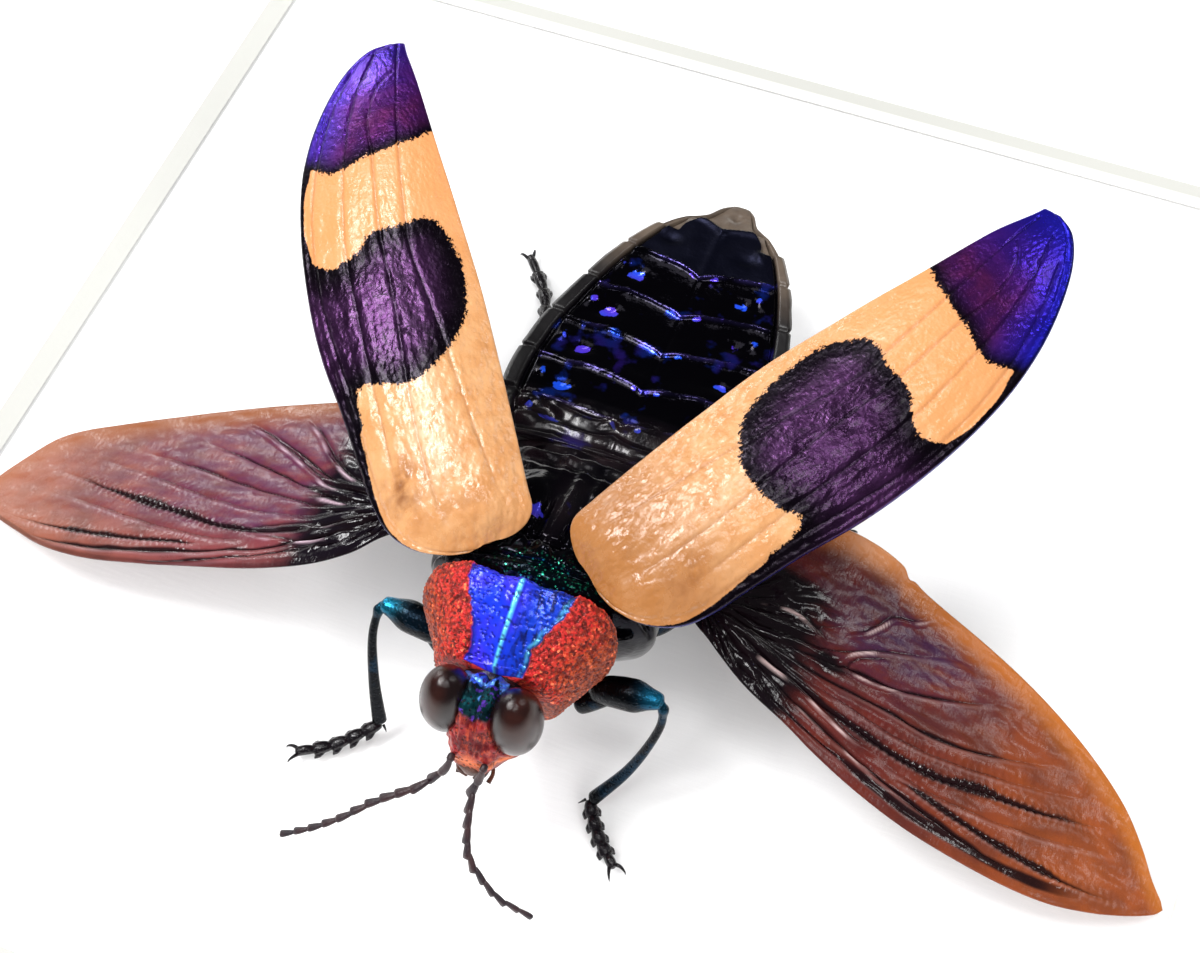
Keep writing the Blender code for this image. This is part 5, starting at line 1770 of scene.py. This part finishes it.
def leg_parts(joints):
    """Hip, thigh, shin, foot lobes and claws, from the same joints as the plain solid."""
    joints = np.array(joints, dtype=float)
    hip, root, knee = joints[0], joints[1], joints[2]
    ankle, foot_middle, foot_end = joints[5], joints[6], joints[7]
    thigh = [hip + 0.4 * (root - hip), root, 0.5 * (root + knee) + (0, 0, 0.1), knee]
    shin = [knee, joints[3], joints[4], ankle]
    parts = [
        tube_part([hip - (0.5, 0, 0.3), hip, root + 0.2 * (knee - root)], HIP_SIZES, 30, 28),
        tube_part(thigh, THIGH_SIZES, 70, 40),
        tube_part(shin, SHIN_SIZES, 90, 32)]
    ahead = unit(ankle - joints[4])
    for turn in (1, -1):
        spur = ankle + np.array((0.25 * turn, 0, 0.1))
        spur_path = [spur, spur + ahead * 0.3 + (0.1 * turn, 0, -0.05),
                     spur + ahead * 0.55 + (0.12 * turn, 0, 0.05)]
        parts.append(tube_part(spur_path, SPUR_SIZES, 10, 10, 0.6, blunt=False))
    foot = points_along([ankle, foot_middle, foot_end], TARSAL_LOBES + 1)
    for i in range(TARSAL_LOBES):
        start, end = foot[i], foot[i + 1]
        step = end - start
        last = i == TARSAL_LOBES - 1
        middle_width, end_width = (0.32, 0.34) if last else (0.42, 0.52)
        body = [start - 0.12 * step, start + 0.5 * step + (0, 0, 0.10), end + 0.1 * step]
        sizes = [(0.1, 0.26, 0.24), (0.55, middle_width, 0.32), (0.9, end_width * 0.85, 0.28)]
        parts.append(tube_part(body, sizes, 22, 20, 1.0))
        if last:
            continue
        across = unit(np.cross(step, (0.0, 0.0, 1.0)))
        for turn in (1, -1):
            corner = start + 0.35 * step + across * 0.12 * turn
            tip = start + 1.05 * step + across * 0.5 * turn - (0, 0, 0.2)
            lobe = [corner, 0.45 * corner + 0.55 * tip + (0, 0, 0.08), tip]
            parts.append(tube_part(lobe, LOBE_SIZES, 14, 12, 1.0, blunt=False))
    ahead = unit(foot_end - foot[-2])
    across = np.cross(ahead, (0.0, 0.0, 1.0))
    for turn in (1, -1):
        start = foot_end - ahead * 0.25 + across * 0.1 * turn
        hook = [start, start + ahead * 0.45 + across * 0.28 * turn + (0, 0, 0.16),
                start + ahead * 0.8 + across * 0.42 * turn - (0, 0, 0.05),
                start + ahead * 0.85 + across * 0.42 * turn - (0, 0, 0.33)]
        parts.append(tube_part(hook, CLAW_SIZES, 22, 12, 0.8, blunt=False))
    return parts


def build_leg(name, joints, side, finish, node):
    parts = leg_parts(joints)
    points, faces = join_parts([part[:2] for part in parts])
    foot = np.concatenate([part[2] for part in parts])
    points[:, 2] = np.maximum(points[:, 2], 0.02)
    # Where the painted knee highlight lies.
    knee = closeness(points, np.array(joints[2]) + (-0.5, 0, 0.5), 0.75)
    piece = new_piece(name, to_frame(points, side), faces, finish, {"foot": foot, "knee": knee})
    fit_piece(piece, "leg", node)
    return piece


leg_finish = leg_material()
legs = []
for side_name, side in (("left", 1), ("right", -1)):
    for place, joints in LEG_JOINTS.items():
        if (side_name, place) == ("right", "front"):
            joints = RIGHT_FRONT_JOINTS
        legs.append(build_leg(f"{side_name}_{place}_limb", joints, side, leg_finish,
                              f"{side_name}_{place}_leg"))

# %% [markdown]
# Antennae with Geometry Nodes
#
# An antenna is a long first joint and then a row of small wedges, each with one sharp corner, so
# that it looks like a saw. One wedge is modelled, and a node tree sets copies of it along the
# antenna's curve, turned along it and smaller towards the tip. The copies are then made real.

# %% Antenna wedge and node tree
LEFT_ANTENNA = [(1.05, -24.4, 10.0), (0.86, -24.6, 9.2), (0.66, -25.0, 8.4), (0.75, -25.9, 7.6),
    (0.97, -26.8, 6.9), (1.39, -27.75, 6.2), (2.2, -28.43, 5.5), (3.62, -29.08, 4.7), (5.46, -29.23, 4.0)]
RIGHT_ANTENNA = [(0.98, -24.4, 10.0), (1.2, -24.65, 9.2), (1.7, -24.94, 8.5), (2.62, -25.74, 7.9),
    (4.77, -26.99, 6.8), (6.38, -28.15, 5.9), (7.93, -28.97, 5.0), (9.69, -29.59, 4.0)]
ANTENNA_WEDGES = 11
FIRST_WEDGE = 1.3
LAST_WEDGE_SHARE = 0.72
SCAPE_POINTS = 16


def antenna_wedge(finish):
    """One wedge, 1 long along Z, narrow at its root and with a corner to one side."""
    shares = np.array([-0.05, 0.02, 0.3, 0.6, 0.85, 0.97, 1.05])
    round_half = np.array([0.06, 0.14, 0.18, 0.20, 0.20, 0.17, 0.05])
    corner = np.array([0.0, 0.0, 0.02, 0.07, 0.13, 0.15, 0.0])
    angles = np.linspace(0, 2 * math.pi, 14, endpoint=False)
    rings = np.zeros((len(shares), len(angles), 3))
    for i, share in enumerate(shares):
        rings[i, :, 0] = np.cos(angles) * round_half[i]
        rings[i, :, 0] += corner[i] * held(np.cos(angles))
        rings[i, :, 1] = np.sin(angles) * round_half[i] * 0.8
        rings[i, :, 2] = share
    points, faces, _ = loft_parts(rings)
    return new_piece("antenna_wedge", points, faces, finish)


def antenna_tree():
    """Copies of a wedge along a curve, smaller towards its end, with the scape kept."""
    tree = bpy.data.node_groups.new("antenna_row", "GeometryNodeTree")
    names = {}
    for label, kind in (("Geometry", "Geometry"), ("Path", "Object"), ("Wedge", "Object"),
                        ("Count", "Int"), ("First size", "Float"), ("Last size", "Float"),
                        ("Finish", "Material")):
        socket = tree.interface.new_socket(name=label, in_out="INPUT", socket_type="NodeSocket" + kind)
        names[label] = socket.identifier
    tree.interface.new_socket(name="Geometry", in_out="OUTPUT", socket_type="NodeSocketGeometry")
    add = tree.nodes.new
    link = tree.links.new
    given = add("NodeGroupInput")
    path_info = add("GeometryNodeObjectInfo")
    path_info.transform_space = "RELATIVE"
    wedge_info = add("GeometryNodeObjectInfo")
    wedge_info.transform_space = "ORIGINAL"
    link(given.outputs["Path"], path_info.inputs["Object"])
    link(given.outputs["Wedge"], wedge_info.inputs["Object"])
    to_points = add("GeometryNodeCurveToPoints")
    link(path_info.outputs["Geometry"], to_points.inputs["Curve"])
    link(given.outputs["Count"], to_points.inputs["Count"])
    number = add("GeometryNodeInputIndex")
    size = add("ShaderNodeMapRange")
    last_number = add("ShaderNodeMath")
    last_number.operation = "SUBTRACT"
    last_number.inputs[1].default_value = 1.0
    link(given.outputs["Count"], last_number.inputs[0])
    link(number.outputs[0], size.inputs["Value"])
    link(last_number.outputs[0], size.inputs["From Max"])
    link(given.outputs["First size"], size.inputs["To Min"])
    link(given.outputs["Last size"], size.inputs["To Max"])
    copies = add("GeometryNodeInstanceOnPoints")
    link(to_points.outputs["Points"], copies.inputs["Points"])
    link(wedge_info.outputs["Geometry"], copies.inputs["Instance"])
    link(to_points.outputs["Rotation"], copies.inputs["Rotation"])
    link(size.outputs["Result"], copies.inputs["Scale"])
    real = add("GeometryNodeRealizeInstances")
    link(copies.outputs["Instances"], real.inputs[0])
    joined = add("GeometryNodeJoinGeometry")
    link(real.outputs[0], joined.inputs[0])
    link(given.outputs["Geometry"], joined.inputs[0])
    painted = add("GeometryNodeSetMaterial")
    link(joined.outputs[0], painted.inputs["Geometry"])
    link(given.outputs["Finish"], painted.inputs["Material"])
    made = add("NodeGroupOutput")
    link(painted.outputs[0], made.inputs[0])
    return tree, names


def bake_piece(source, name):
    """Turn an object with its modifiers into a plain mesh object."""
    depsgraph = bpy.context.evaluated_depsgraph_get()
    mesh = bpy.data.meshes.new_from_object(source.evaluated_get(depsgraph))
    mesh.name = name
    made = bpy.data.objects.new(name, mesh)
    bpy.context.scene.collection.objects.link(made)
    bpy.data.objects.remove(source)
    return made


def path_object(points):
    """A smooth curve through points in metres, as Geometry Nodes read it."""
    curve = bpy.data.curves.new("path", "CURVE")
    curve.dimensions = "3D"
    spline = curve.splines.new("POLY")
    spline.points.add(len(points) - 1)
    for point, place in zip(spline.points, points):
        point.co = (*place, 1.0)
    made = bpy.data.objects.new("path", curve)
    bpy.context.scene.collection.objects.link(made)
    return made


def build_antenna(name, route, side, finish, wedge, tree, names, node):
    line = points_along(route, 120)
    scape_parts = [
        tube_part(line[:SCAPE_POINTS:5], [(0.1, 0.16, 0.16), (0.8, 0.27, 0.25), (0.95, 0.2, 0.2)],
                  30, 20),
        tube_part([line[0] + (0, 0.4, 0.1), line[0], line[1]],
                  [(0.2, 0.2, 0.2), (0.8, 0.24, 0.24)], 12, 16)]
    points, faces = join_parts([part[:2] for part in scape_parts])
    scape = new_piece("scape", to_frame(points, side), faces, finish)
    path = path_object(to_frame(line[SCAPE_POINTS - 3:-6], side))
    modifier = scape.modifiers.new("Row", "NODES")
    modifier.node_group = tree
    wedge_length = FIRST_WEDGE * MM
    for label, value in (("Path", path), ("Wedge", wedge), ("Count", ANTENNA_WEDGES),
                         ("First size", wedge_length), ("Last size", wedge_length * LAST_WEDGE_SHARE),
                         ("Finish", finish)):
        modifier[names[label]] = value
    piece = bake_piece(scape, name)
    bpy.data.objects.remove(path)
    fit_piece(piece, "antenna", node)


horn_finish = plain_material("antenna_finish", grain, 7.0, (paint(52, 34, 36), paint(28, 20, 28)),
                             (0.3, 0.5), 0.04, 1.5)
wedge = antenna_wedge(horn_finish)
row_tree, row_names = antenna_tree()
build_antenna("left_feeler", LEFT_ANTENNA, 1, horn_finish, wedge, row_tree, row_names, "left_antenna")
build_antenna("right_feeler", RIGHT_ANTENNA, -1, horn_finish, wedge, row_tree, row_names, "right_antenna")
bpy.data.objects.remove(wedge)

# %% [markdown]
# The frame, the mat and the card
#
# The frame's solids are already right: four mitred rails, a bevel-cut mat, the card and the back
# board. They keep their shape and get finishes: satin paint with a slight brush mark on wood,
# matt paper on the mat and the card, and brown fibreboard at the back.

# %% Frame finishes
MAT_TOP = 6.4
MAT_OPENING = 82.5
BEAD_WIDTH = 2.0
BEAD_OVERLAP = 0.2
BEVEL_CORE = paint(206, 206, 201)
BEVEL_CORE_TAIL = paint(176, 176, 171)


def paper_material(name, colour, tone):
    return plain_material(name, fibre, 3.0, (colour, tone), (0.86, 0.94), 0.012, 1.45)


def mat_material():
    """Mat board whose cut bevel shows a slightly darker core, with painted shade on the bevel at the tail
    side.
    """
    material = paper_material("mat_board", paint(250, 250, 249), paint(248, 248, 247))
    tree = material.node_tree
    shader = tree.nodes["Principled BSDF"]
    axes = axes_of(place_in_mm(tree))
    face_up = MAT_TOP - 0.02
    on_bevel = ramp(axes[2], face_up, face_up - 0.02)
    face = shader.inputs["Base Color"].links[0].from_socket
    # Painted shade: the bevel on the tail side is greyer.
    tail_half = ramp(axes[1], MAT_OPENING / 2 - 0.1, MAT_OPENING / 2)
    core = mix(tail_half, BEVEL_CORE, BEVEL_CORE_TAIL)
    wire(mix(on_bevel, face, core), shader.inputs["Base Color"])
    return material


def build_mat_bead():
    """A bead of glue that closes the thin gap between the mat and the card."""
    low = card_top
    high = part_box("window_mat")[0].z + BEAD_OVERLAP * MM
    points = []
    for past, up in ((0.06, low), (0.12, high), (BEAD_WIDTH, high), (BEAD_WIDTH, low)):
        half = MAT_OPENING / 2 + past
        points += [(x * half * MM, y * half * MM, up) for x, y in ((-1, -1), (1, -1), (1, 1), (-1, 1))]
    points = np.array(points)
    faces = []
    for ring in range(4):
        after = (ring + 1) % 4
        for i in range(4):
            j = (i + 1) % 4
            faces.append([ring * 4 + i, ring * 4 + j, after * 4 + j, after * 4 + i])
    bead = new_piece("mat_glue_bead", points, faces, mat_finish)
    for face in bead.data.polygons:
        face.use_smooth = False
    fit_piece(bead, "mat")


def dress_node(node, material):
    """Give a CAD node its finish."""
    piece = bpy.data.objects[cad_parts[node].name]
    piece.data.materials.clear()
    piece.data.materials.append(material)
    print(node, "is finished in", material.name)


card_finish = paper_material("white_card", paint(246, 246, 246), paint(243, 243, 244))
mat_finish = mat_material()
board_finish = paper_material("fibreboard", paint(150, 116, 84), paint(124, 94, 66))
paint_finish = plain_material("satin_paint", fibre, 0.9, (paint(240, 239, 235), paint(232, 231, 226)),
                              (0.32, 0.44), 0.03, 1.48)
dress_node("backing_card", card_finish)
dress_node("window_mat", mat_finish)
dress_node("back_board", board_finish)
for rail in ("left", "right", "head", "tail"):
    dress_node("frame_rail_" + rail, paint_finish)

build_mat_bead()

# %% Floor
FLOOR_HALF = 0.9
FLOOR_DROP = 0.0002


def build_floor():
    corners = np.array([(-1, -1, 0), (1, -1, 0), (1, 1, 0), (-1, 1, 0)]) * FLOOR_HALF
    corners[:, 2] = -FLOOR_DROP
    floor = new_piece("studio_floor", corners, [[0, 1, 2, 3]],
                      paper_material("pale_floor", paint(238, 238, 237), paint(234, 234, 233)))


build_floor()
